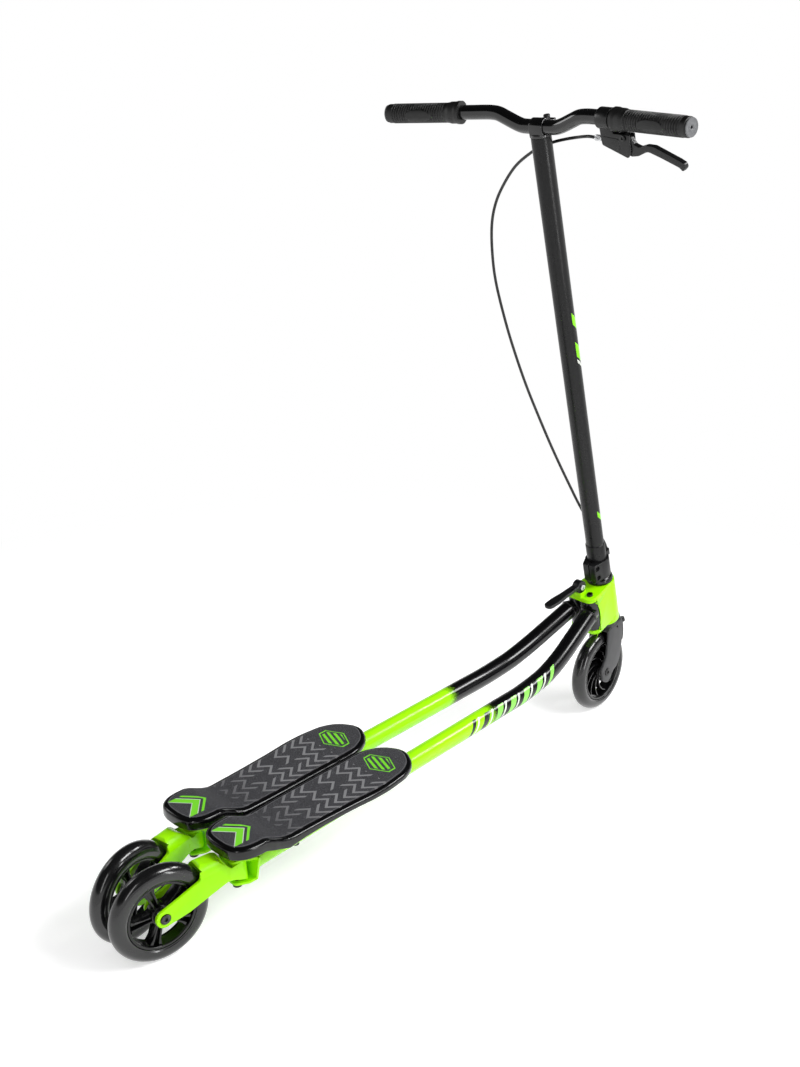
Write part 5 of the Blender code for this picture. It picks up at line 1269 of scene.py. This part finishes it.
def leg_curve():
    """The tube's centre line: straight to the first bend, then smooth to the knuckle."""
    rear, front = leg_points()
    straight = [tuple(rear.lerp(front[0], t)) for t in (0, 0.25, 0.5, 0.75, 0.9)]
    return even(smooth_curve(straight + [tuple(point) for point in front], 600), 4.0)


def tube_point(ahead):
    """Point of the tube's straight centre line at a distance ahead of the rear wheel's contact."""
    rear, front = leg_points()
    share = (ahead - HALF_BASE - rear.y) / (front[0].y - rear.y)
    return rear.lerp(front[0], share)


def deck_bolt_frames():
    """Frames on the tube's centre line at the deck screws."""
    return [Matrix.Translation(tube_point(ahead)) @ turn(LEG_SLOPE, "X") for ahead in DECK_BOLT_AHEAD]


def weld_bead(path, radius, bead=1.6):
    """Thick uneven ring of weld where a tube ends: a small circle carried round the tube."""
    ahead = path[1] - path[0]
    ahead /= np.linalg.norm(ahead)
    side = np.cross(ahead, (0, 0, 1))
    side /= np.linalg.norm(side)
    other = np.cross(ahead, side)
    t = np.linspace(0, 2 * np.pi, 90, endpoint=False)
    a = np.linspace(0, 2 * np.pi, 10, endpoint=False)
    size = bead * (1 + 0.12 * np.sin(22 * t))
    out = np.cos(t)[:, None] * side + np.sin(t)[:, None] * other
    spread_out = radius + size[:, None] * np.cos(a) * 0.9
    forward = size[:, None] * np.sin(a)
    rings = path[0] + out[:, None] * spread_out[..., None] + ahead * forward[..., None]
    return skin(rings, loop=True)


def caster_bracket():
    """Folded plate: tapered front wall between two rounded flanges."""
    inner = YOKE_HALF_HEIGHT + CLEAR
    outer = inner + BRACKET_WALL
    front = BRACKET_FRONT
    low_half, high_half = BRACKET_HALF_WIDTHS
    low_shape = rounded([(low_half, front + 4, 0), (low_half - 0.5, 9, 3), (8, -10, 8), (-8, -10, 8),
                         (0.5 - low_half, 9, 3), (-low_half, front + 4, 0)])
    high_shape = rounded([(high_half - 1, front + 4, 0), (16, 0, 12), (13, -14, 12), (-13, -14, 12),
                          (-16, 0, 12), (1 - high_half, front + 4, 0)])
    corners = [(low_half, -outer), (high_half, outer), (-high_half, outer), (-low_half, -outer)]
    wall = placed(slab(corners, -front - 4, -front), FACE)
    body = joined(wall, slab(low_shape, -outer, -inner), slab(high_shape, inner, outer))
    return cut(body, upright((0, 0), -40, 40, AXLE_HOLE),
               rod((8.6, front - 5, 3.2), (8.6, front + 12, 3.2), 2.4))


def leg_weldment():
    """Knuckle barrel, neck, bent tube and its weld beads."""
    path = leg_curve()
    upper = HEAD_TOP - PLATE_THICKNESS - 0.4
    lower = LOWER_PLATE_BOTTOM + PLATE_THICKNESS + 0.4
    knuckle = HEAD @ shift(PIN_SIDE, -PIN_BACK, 0)
    barrel = upright((0, 0), lower, upper, KNUCKLE_RADIUS, 0.8, 72)
    barrel = placed(cut(barrel, upright((0, 0), lower - 5, upper + 5, PIN_HOLE)), knuckle)
    neck_start = np.array(knuckle @ Vector((2.5, -3.0, 232.0)))
    neck = pipe(np.linspace(neck_start, path[-1], 6), np.linspace(13.4, 15.6, 6), (1, 0, 0), 0, 64)
    collar = weld_bead(path[::-1], TUBE_RADIUS, 1.5)
    foot = weld_bead(path, TUBE_RADIUS + 0.4, 2.0)
    foot = (foot[0] + np.array(caster_frame(1).to_3x3() @ Vector((0, 2.4, 0))), foot[1])
    return together(barrel, neck, pipe(path, TUBE_RADIUS, (1, 0, 0), 0, 72), collar, foot)


# Deck tables, measured ahead of the rear wheel's contact: (ahead, sideways or height)
DECK_CENTRE = ((93, 51.3), (142, 51.3), (158, 52.5), (170, 52.0), (185, 49.9), (220, 49.6),
               (250, 50.0), (280, 50.8), (310, 51.8), (340, 53.2), (370, 53.3), (395, 51.9), (455, 51.9))
DECK_HALF_WIDTH = ((94.5, 0), (94.8, 10), (95.6, 16), (97.6, 23), (101, 28.5), (106, 32.5),
                   (112, 35.4), (120, 37.3), (130, 38.1), (142, 38.0), (155, 37.4), (168, 37.3),
                   (185, 39.1), (200, 39.9), (220, 40.5), (250, 41.3), (280, 42.1), (310, 43.1),
                   (340, 44.5), (370, 44.6), (395, 43.2), (410, 40.4), (425, 33.4), (435, 24.7),
                   (441, 15.6), (445, 7.6), (446.4, 0))
DECK_TOP = ((90, 154.0), (140, 154.0), (149, 151.6), (161, 146.0), (172, 141.4), (182, 138.7),
            (192, 138.3), (205, 139.0), (455, 151.4))
DECK_BOTTOM = ((90, 137.4), (142, 136.4), (162, 129.4), (184, 122.2), (208, 126.5), (245, 130.5),
               (285, 133.6), (455, 141.8))
DECK_RIBS = ((130, 2.4), (165, 3), (195, 2.4), (230, 14), (262, 2.4), (292, 2.4), (322, 2.4),
             (352, 2.4), (378, 2.4), (400, 14), (422, 2.4))


def read_table(table, ahead):
    """Straight-line reading of a table of (ahead, value)."""
    table = np.array(table, float)
    return np.interp(ahead, table[:, 0], table[:, 1])


def deck_sides(inward, count=220):
    """Right and left outline points (x, ahead), moved inwards along their normals."""
    points = [(width, ahead, 0) for ahead, width in DECK_HALF_WIDTH]
    right = even(smooth_curve(points, 900), 0.5)
    right = right[np.linspace(0, len(right) - 1, count).astype(int), :2]
    right[[0, -1], 0] = 0.0
    outline = np.vstack([right, np.column_stack([-right[-2:0:-1, 0], right[-2:0:-1, 1]])])
    moved = inset(outline, inward)[:count]
    moved[[0, -1], 0] = 0.0
    return moved


def deck_level(inward, height_of, columns):
    """Grid over the deck: x = centre + half width times u, with u from -1 to 1."""
    u = np.linspace(-1, 1, columns)
    sides = deck_sides(inward)
    centre = read_table(DECK_CENTRE, sides[:, 1])
    x = centre[:, None] + sides[:, :1] * u
    y = np.repeat(sides[:, 1:] - HALF_BASE, columns, axis=1)
    z = np.repeat(height_of(sides[:, 1])[:, None], columns, axis=1)
    return np.stack([x, y, z], axis=-1)


def deck_ladder(levels, columns):
    """Closed sheet or tray: side walls through levels (inward, height of), with grids as caps."""
    grids = [deck_level(inward, height_of, columns) for inward, height_of in levels]
    rows = grids[0].shape[0]
    points = np.concatenate([one.reshape(-1, 3) for one in grids])
    size = rows * columns
    a, b = np.meshgrid(np.arange(rows - 1), np.arange(columns - 1), indexing="ij")
    quads = np.stack([a * columns + b, a * columns + b + 1, (a + 1) * columns + b + 1,
                      (a + 1) * columns + b], axis=-1).reshape(-1, 4)
    faces = quads[:, ::-1].tolist() + (quads + (len(grids) - 1) * size).tolist()
    row = np.arange(rows - 1)
    for level in range(len(grids) - 1):
        low = level * size
        high = low + size
        for edge in (0, columns - 1):
            first = row * columns + edge
            corners = [first + low, first + columns + low, first + columns + high, first + high]
            wall = np.stack(corners, axis=-1)
            faces += wall.tolist() if edge else wall[:, ::-1].tolist()
    return points, faces


def deck_top(lift):
    return lambda ahead: read_table(DECK_TOP, ahead) + lift


def deck_bottom(lift):
    return lambda ahead: read_table(DECK_BOTTOM, ahead) + lift


def deck_shell():
    """The tray's skin: a quarter circle from its wall to its top, and a hollow below."""
    rim_angles = np.linspace(0, np.pi / 2, 6)
    rim = [(-DECK_RIM + 5.6 - 5.6 * math.cos(a), deck_top(-4.8 + 4.8 * math.sin(a))) for a in rim_angles]
    foot = [(-DECK_RIM + 1.0, deck_bottom(0)), (-DECK_RIM + 0.3, deck_bottom(0.4)),
            (-DECK_RIM, deck_bottom(1.2))]
    shell = deck_ladder(foot + rim + [(0.0, deck_top(0))], 5)
    hollow = deck_ladder([(-DECK_RIM + 3.6, deck_bottom(-8)), (-DECK_RIM + 4.2, deck_top(-4.2))], 3)
    return cut(shell, hollow)


def deck_ribs():
    """Cross ribs under the tray, thick where a screw comes up."""
    ribs = []
    for ahead, thick in DECK_RIBS:
        middle = ahead - HALF_BASE
        half = float(read_table(DECK_HALF_WIDTH, ahead)) + 4.6
        centre = float(read_table(DECK_CENTRE, ahead))
        low = float(read_table(DECK_BOTTOM, ahead)) + 1.0
        high = float(read_table(DECK_TOP, ahead)) - 3.6
        ribs.append(block((centre - half, middle - thick / 2, low),
                          (centre + half, middle + thick / 2, high)))
    return ribs


def deck_keel():
    """Block along the tray from the tube up to the top skin."""
    low = [(ahead - HALF_BASE, tube_point(ahead).z + 3.0) for ahead in KEEL_ENDS]
    high = [(ahead - HALF_BASE, float(read_table(DECK_TOP, ahead)) - 2.0) for ahead in KEEL_ENDS]
    block_shape = slab(low + high[::-1], -KEEL_HALF_WIDTH, KEEL_HALF_WIDTH)
    return placed(block_shape, shift(CASTER_SIDE - 1.6, 0, 0) @ SIDE)


def deck_tray():
    """Moulded tray, ribbed below and saddled over the tube."""
    rear, front = leg_points()
    rear, bend = np.array(rear), np.array(front[0])
    saddle = pipe(np.linspace(rear + (rear - bend) * 0.2, bend, 4), TUBE_RADIUS + 0.1, (1, 0, 0), 0, 64)
    return cut(joined(deck_shell(), *deck_ribs(), deck_keel()), saddle)


def grip_sheet(name, side):
    """Abrasive sheet with its deck coordinates in attributes."""
    levels = [(0.2, deck_top(0.3)), (0.2, deck_top(1.1)), (0.5, deck_top(1.3))]
    shape = sided(deck_ladder(levels, 41), side)
    sheet = piece("grip_sheet_" + name, name + "_leg", shape, tape, ("grip_tape_" + name,))
    mesh = sheet.data
    points = vertex_places(mesh)
    ahead = points[:, 1] + HALF_BASE
    across = points[:, 0] * side - read_table(DECK_CENTRE, ahead)
    deck = np.column_stack([across * side, ahead, 0 * ahead]).astype(np.float32)
    mesh.attributes.new("deck", "FLOAT_VECTOR", "POINT").data.foreach_set("vector", deck.ravel())


def rim_line(name, side):
    """Thin pale line printed just inside the sheet's edge, as a flat ribbon 0.05 mm proud."""
    outer = deck_sides(0.7, 260)
    inner = deck_sides(1.6, 260)
    count = len(outer)

    def lane(sides):
        x = np.concatenate([sides[:, 0], -sides[-2:0:-1, 0]])
        ahead = np.concatenate([sides[:, 1], sides[-2:0:-1, 1]])
        x = x + read_table(DECK_CENTRE, ahead)
        return np.column_stack([x, ahead - HALF_BASE, read_table(DECK_TOP, ahead)])

    low, high = 1.0, 1.36
    rings = [lane(outer) + (0, 0, low), lane(outer) + (0, 0, high), lane(inner) + (0, 0, high),
             lane(inner) + (0, 0, low)]
    shape = skin(np.stack(rings, axis=1)[:2 * count - 2], loop=True)
    piece("tape_line_" + name, name + "_leg", sided(shape, side), plug_plastic)


def yoke():
    """Cast yoke in its own frame: arm with a shouldered arch over the wheel and a round nose."""
    half = YOKE_HALF_HEIGHT
    wide = YOKE_HALF_WIDTH + 1
    foot = [(y + CASTER_TRAIL, z - REAR_Z, 0) for y, z in arc((-CASTER_TRAIL, REAR_Z), 14.0, -68, -248, 24)]
    upper = [(18.7, 21.2, 20), (57.6, 35.6, 6), (60.6, 49.0, 6), (64.5, 52.6, 5), (73.4, 53.6, 20),
             (87.3, 51.0, 20), (100.7, 40.5, 12), (107.0, half - REAR_Z, 4)]
    nose = [(CASTER_TRAIL + 13.0, half - REAR_Z, 0), (CASTER_TRAIL + 13.0, -half - REAR_Z, 0)]
    lower = [(106.0, 12.6, 6), (98.0, 13.2, 6), (36.4, -7.2, 20)]
    outline = [(y - CASTER_TRAIL, z + REAR_Z) for y, z in rounded(foot + upper + nose + lower)]
    body = placed(slab(outline, -YOKE_HALF_WIDTH, YOKE_HALF_WIDTH, 1.6, 3), SIDE)
    top_view = [(-wide, -CASTER_TRAIL - 20, 0), (wide, -CASTER_TRAIL - 20, 0), (wide, -24, 12),
                (14.5, 4, 8), (10.5, 14.5, 8), (-10.5, 14.5, 8), (-14.5, 4, 8), (-wide, -24, 12)]
    arch = [(wide * math.cos(a), REAR_Z + 30.0 + 23.8 * math.sin(a)) for a in np.linspace(0, math.pi, 31)]
    section = [(-wide, -60), (wide, -60)] + arch
    body = boolean(body, slab(rounded(top_view, 10), -60, 60), "INTERSECT")
    body = boolean(body, placed(slab(section, -40, 160), FACE), "INTERSECT")
    left, right, seat = ((x, -CASTER_TRAIL, REAR_Z) for x in (-40, 40, YOKE_HALF_WIDTH - 2.4))
    gap = crosswise(left[1:], -YOKE_HALF_GAP, YOKE_HALF_GAP, WHEEL_RADIUS + 3.4, steps=144)
    return cut(body, gap, rod(left, right, AXLE_HOLE), rod(seat, right, 8.0),
               upright((0, 0), -60, 60, AXLE_HOLE))


def make_leg(name, side):
    """The leg with its bracket, deck and their screws."""
    body = name + "_leg"
    at_bolt = caster_frame(1)
    piece("leg_weldment_" + name, body, sided(leg_weldment(), side), leg_enamel, ("leg_" + name,))
    bracket = piece("caster_bracket_" + name, body, sided(placed(caster_bracket(), at_bolt), side),
                    green_enamel, edge=0.6)
    piece("deck_tray_" + name, body, sided(deck_tray(), side), nylon, ("deck_" + name,))
    grip_sheet(name, side)
    rim_line(name, side)
    outer = YOKE_HALF_HEIGHT + CLEAR + BRACKET_WALL
    pin = socket_bolt((0, 0, outer + CLEAR), (0, 0, -outer - 6.0), 4.0, 7.0, 4.6)
    piece("caster_screw_" + name, body, sided(placed(pin, at_bolt), side), black_oxide,
          ("caster_bolt_" + name,))
    bumper = turned(rounded([(4.2, -outer - 7.4, 0.4), (7.0, -outer - 7.4, 1.6),
                             (7.4, -outer - CLEAR, 0.6), (4.2, -outer - CLEAR, 0)], 5), 72)
    piece("caster_bumper_" + name, body, sided(placed(bumper, at_bolt), side), bumper_rubber,
          ("caster_nut_" + name,))
    for label, place in zip(("rear", "front"), deck_bolt_frames()):
        screw = socket_bolt((0, 0, -TUBE_RADIUS - 1.0), (0, 0, TUBE_RADIUS + 8.0), 3.0, 5.6, 3.6)
        ends = label + "_" + name
        piece("deck_screw_" + ends, body, sided(placed(screw, place), side), black_oxide,
              ("deck_bolt_" + ends,))


def make_caster(name, side):
    """The yoke with its axle and wheel."""
    body = name + "_caster"
    place = yoke_frame(side)
    piece("caster_yoke_" + name, body, placed(sided(yoke(), side), place), green_enamel,
          ("yoke_" + name,), edge=0.7)
    axle = socket_bolt((YOKE_HALF_WIDTH - 2.1, -CASTER_TRAIL, REAR_Z),
                       (-YOKE_HALF_WIDTH, -CASTER_TRAIL, REAR_Z), 4.0, 7.4, 3.6, 0.45)
    piece("wheel_axle_screw_" + name, body, placed(sided(axle, side), place), black_oxide,
          ("rear_axle_bolt_" + name,))
    names = ("rear_tyre_" + name, "rear_hub_" + name, "rear_wheel_bearing_" + name)
    make_wheel(place @ shift(0, -CASTER_TRAIL, REAR_Z), names, name + "_rear_wheel",
               REAR_TYRE_WIDTH, REAR_RIM_RADIUS, broad_spokes, YOKE_HALF_GAP - CLEAR)


def dress_nodes():
    """Nodes that keep their own shape get their finish."""
    finishes = {"headset_bearing_upper": zinc_steel, "headset_bearing_lower": zinc_steel,
                "lock_draw_bolt": zinc_steel}
    for name, finish in finishes.items():
        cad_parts[name].material_slots[0].material = finish


# Studio, in metres; focal length and photo width are in pixels
CAMERA_PLACE = (1.3953, -1.3738, 1.2678)
CAMERA_HEADING = 45.597
CAMERA_DIP = 21.784
FOCAL_PIXELS = 1391.83
PHOTO_WIDTH = 800.0
SENSOR_WIDTH = 36.0
FLOOR_REACH = 150.0
WHITE = (1.0, 1.0, 1.0, 1.0)
FLOOR_GREY = (0.82, 0.82, 0.82, 1.0)
LAMPS = (("key", (2.2, 0.9, 2.6), (0, 0, 0.3), (1.3, 0.9), 60),
         ("rim_box", (1.2, 1.9, 2.2), (0.1, -0.1, 0.2), (0.9, 0.5), 26),
         ("fill", (-2.4, -1.2, 1.8), (0, 0, 0.4), (0.8, 0.8), 8),
         ("strip", (1.6, -2.2, 1.6), (0.0, 0.0, 0.4), (0.3, 1.8), 12),
         ("low_strip", (2.1, 0.3, 0.55), (0.0, 0.1, 0.4), (0.25, 1.0), 9))


def camera():
    """The photograph's view: place and direction solved from the object's own sizes."""
    heading = math.radians(CAMERA_HEADING)
    dip = math.radians(CAMERA_DIP)
    ahead = Vector((-math.sin(heading) * math.cos(dip), math.cos(heading) * math.cos(dip), -math.sin(dip)))
    right = ahead.cross(Vector((0, 0, 1))).normalized()
    up = right.cross(ahead)
    data = bpy.data.cameras.new("photo_view")
    thing = bpy.data.objects.new("photo_view", data)
    bpy.context.scene.collection.objects.link(thing)
    matrix = Matrix((right, up, -ahead)).transposed().to_4x4()
    matrix.translation = CAMERA_PLACE
    thing.matrix_world = matrix
    data.sensor_fit = "HORIZONTAL"
    data.sensor_width = SENSOR_WIDTH
    data.lens = FOCAL_PIXELS * SENSOR_WIDTH / PHOTO_WIDTH
    bpy.context.scene.camera = thing


def lamp(name, place, target, size, power):
    """Soft oblong lamp aimed at a point."""
    data = bpy.data.lights.new(name, "AREA")
    data.shape = "RECTANGLE"
    data.size = size[0]
    data.size_y = size[1]
    data.energy = power
    thing = bpy.data.objects.new(name, data)
    bpy.context.scene.collection.objects.link(thing)
    direction = Vector(target) - Vector(place)
    thing.location = place
    thing.rotation_euler = direction.to_track_quat("-Z", "Y").to_euler()


def background_rays(tree):
    """1 for rays that show the background: straight to the camera, or off metal, gloss and glass."""
    path = add(tree, "ShaderNodeLightPath")
    mirrors = math_node(tree, "MAXIMUM", path.outputs["Is Glossy Ray"], path.outputs["Is Transmission Ray"])
    return math_node(tree, "MAXIMUM", path.outputs["Is Camera Ray"], mirrors)


def choice(tree, factor, first, second):
    """First shader where the factor is 0 and the second where it is 1."""
    return add(tree, "ShaderNodeMixShader", {}, {0: factor, 1: first.outputs[0], 2: second.outputs[0]})


def floor():
    """Pale floor: soft shadow near the object, fading to plain white further off."""
    mesh = bpy.data.meshes.new("studio_floor")
    corners = [(x * FLOOR_REACH, y * FLOOR_REACH, 0) for x, y in ((-1, -1), (1, -1), (1, 1), (-1, 1))]
    mesh.from_pydata(corners, [], [(0, 1, 2, 3)])
    thing = bpy.data.objects.new("studio_floor", mesh)
    bpy.context.scene.collection.objects.link(thing)
    material, tree = new_material("studio_floor_white")
    coords = add(tree, "ShaderNodeTexCoord")
    distance = add(tree, "ShaderNodeVectorMath", {"operation": "LENGTH"}, {0: coords.outputs["Object"]})
    far = soft_step(tree, distance.outputs["Value"], 0.7, 1.5)
    plain = add(tree, "ShaderNodeBsdfDiffuse", {"Color": FLOOR_GREY})
    glow = add(tree, "ShaderNodeEmission", {"Color": WHITE, "Strength": 0.5})
    near = add(tree, "ShaderNodeAddShader", {}, {0: plain.outputs[0], 1: glow.outputs[0]})
    white = add(tree, "ShaderNodeEmission", {"Color": WHITE, "Strength": 1.0})
    shown = choice(tree, far, near, white)
    chosen = choice(tree, background_rays(tree), plain, shown)
    add(tree, "ShaderNodeOutputMaterial", {}, {"Surface": chosen.outputs[0]})
    mesh.materials.append(material)


def sky():
    """White round the horizon and a dark ceiling above it; plain grey light for everything else."""
    world = bpy.data.worlds.new("studio")
    world.use_nodes = True
    tree = world.node_tree
    tree.nodes.clear()
    coords = add(tree, "ShaderNodeTexCoord")
    height = add(tree, "ShaderNodeSeparateXYZ", {}, {"Vector": coords.outputs["Generated"]}).outputs["Z"]
    level = soft_step(tree, height, 0.15, 0.3, 1.0, 0.03)
    soft = add(tree, "ShaderNodeBackground", {"Color": WHITE, "Strength": 0.4})
    white = add(tree, "ShaderNodeBackground", {"Color": WHITE}, {"Strength": level})
    chosen = choice(tree, background_rays(tree), soft, white)
    add(tree, "ShaderNodeOutputWorld", {}, {"Surface": chosen.outputs[0]})
    bpy.context.scene.world = world


def studio():
    floor()
    sky()
    for name, place, target, size, power in LAMPS:
        lamp(name, place, target, size, power)
    bpy.context.scene.view_settings.view_transform = "Standard"


camera()
studio()
make_head()
make_steering()
make_brake()
make_wheel(STEER @ shift(0, AXLE_Y, AXLE_Z) @ turn(-RAKE, "X"),
           ("front_tyre", "front_hub", "front_wheel_bearing"), "front_wheel",
           FRONT_TYRE_WIDTH, FRONT_RIM_RADIUS, turbine_spokes, FORK_HALF_GAP - CLEAR)
for leg_name, leg_side in SIDES:
    make_leg(leg_name, leg_side)
    make_caster(leg_name, leg_side)
dress_nodes()

bpy.context.view_layer.update()
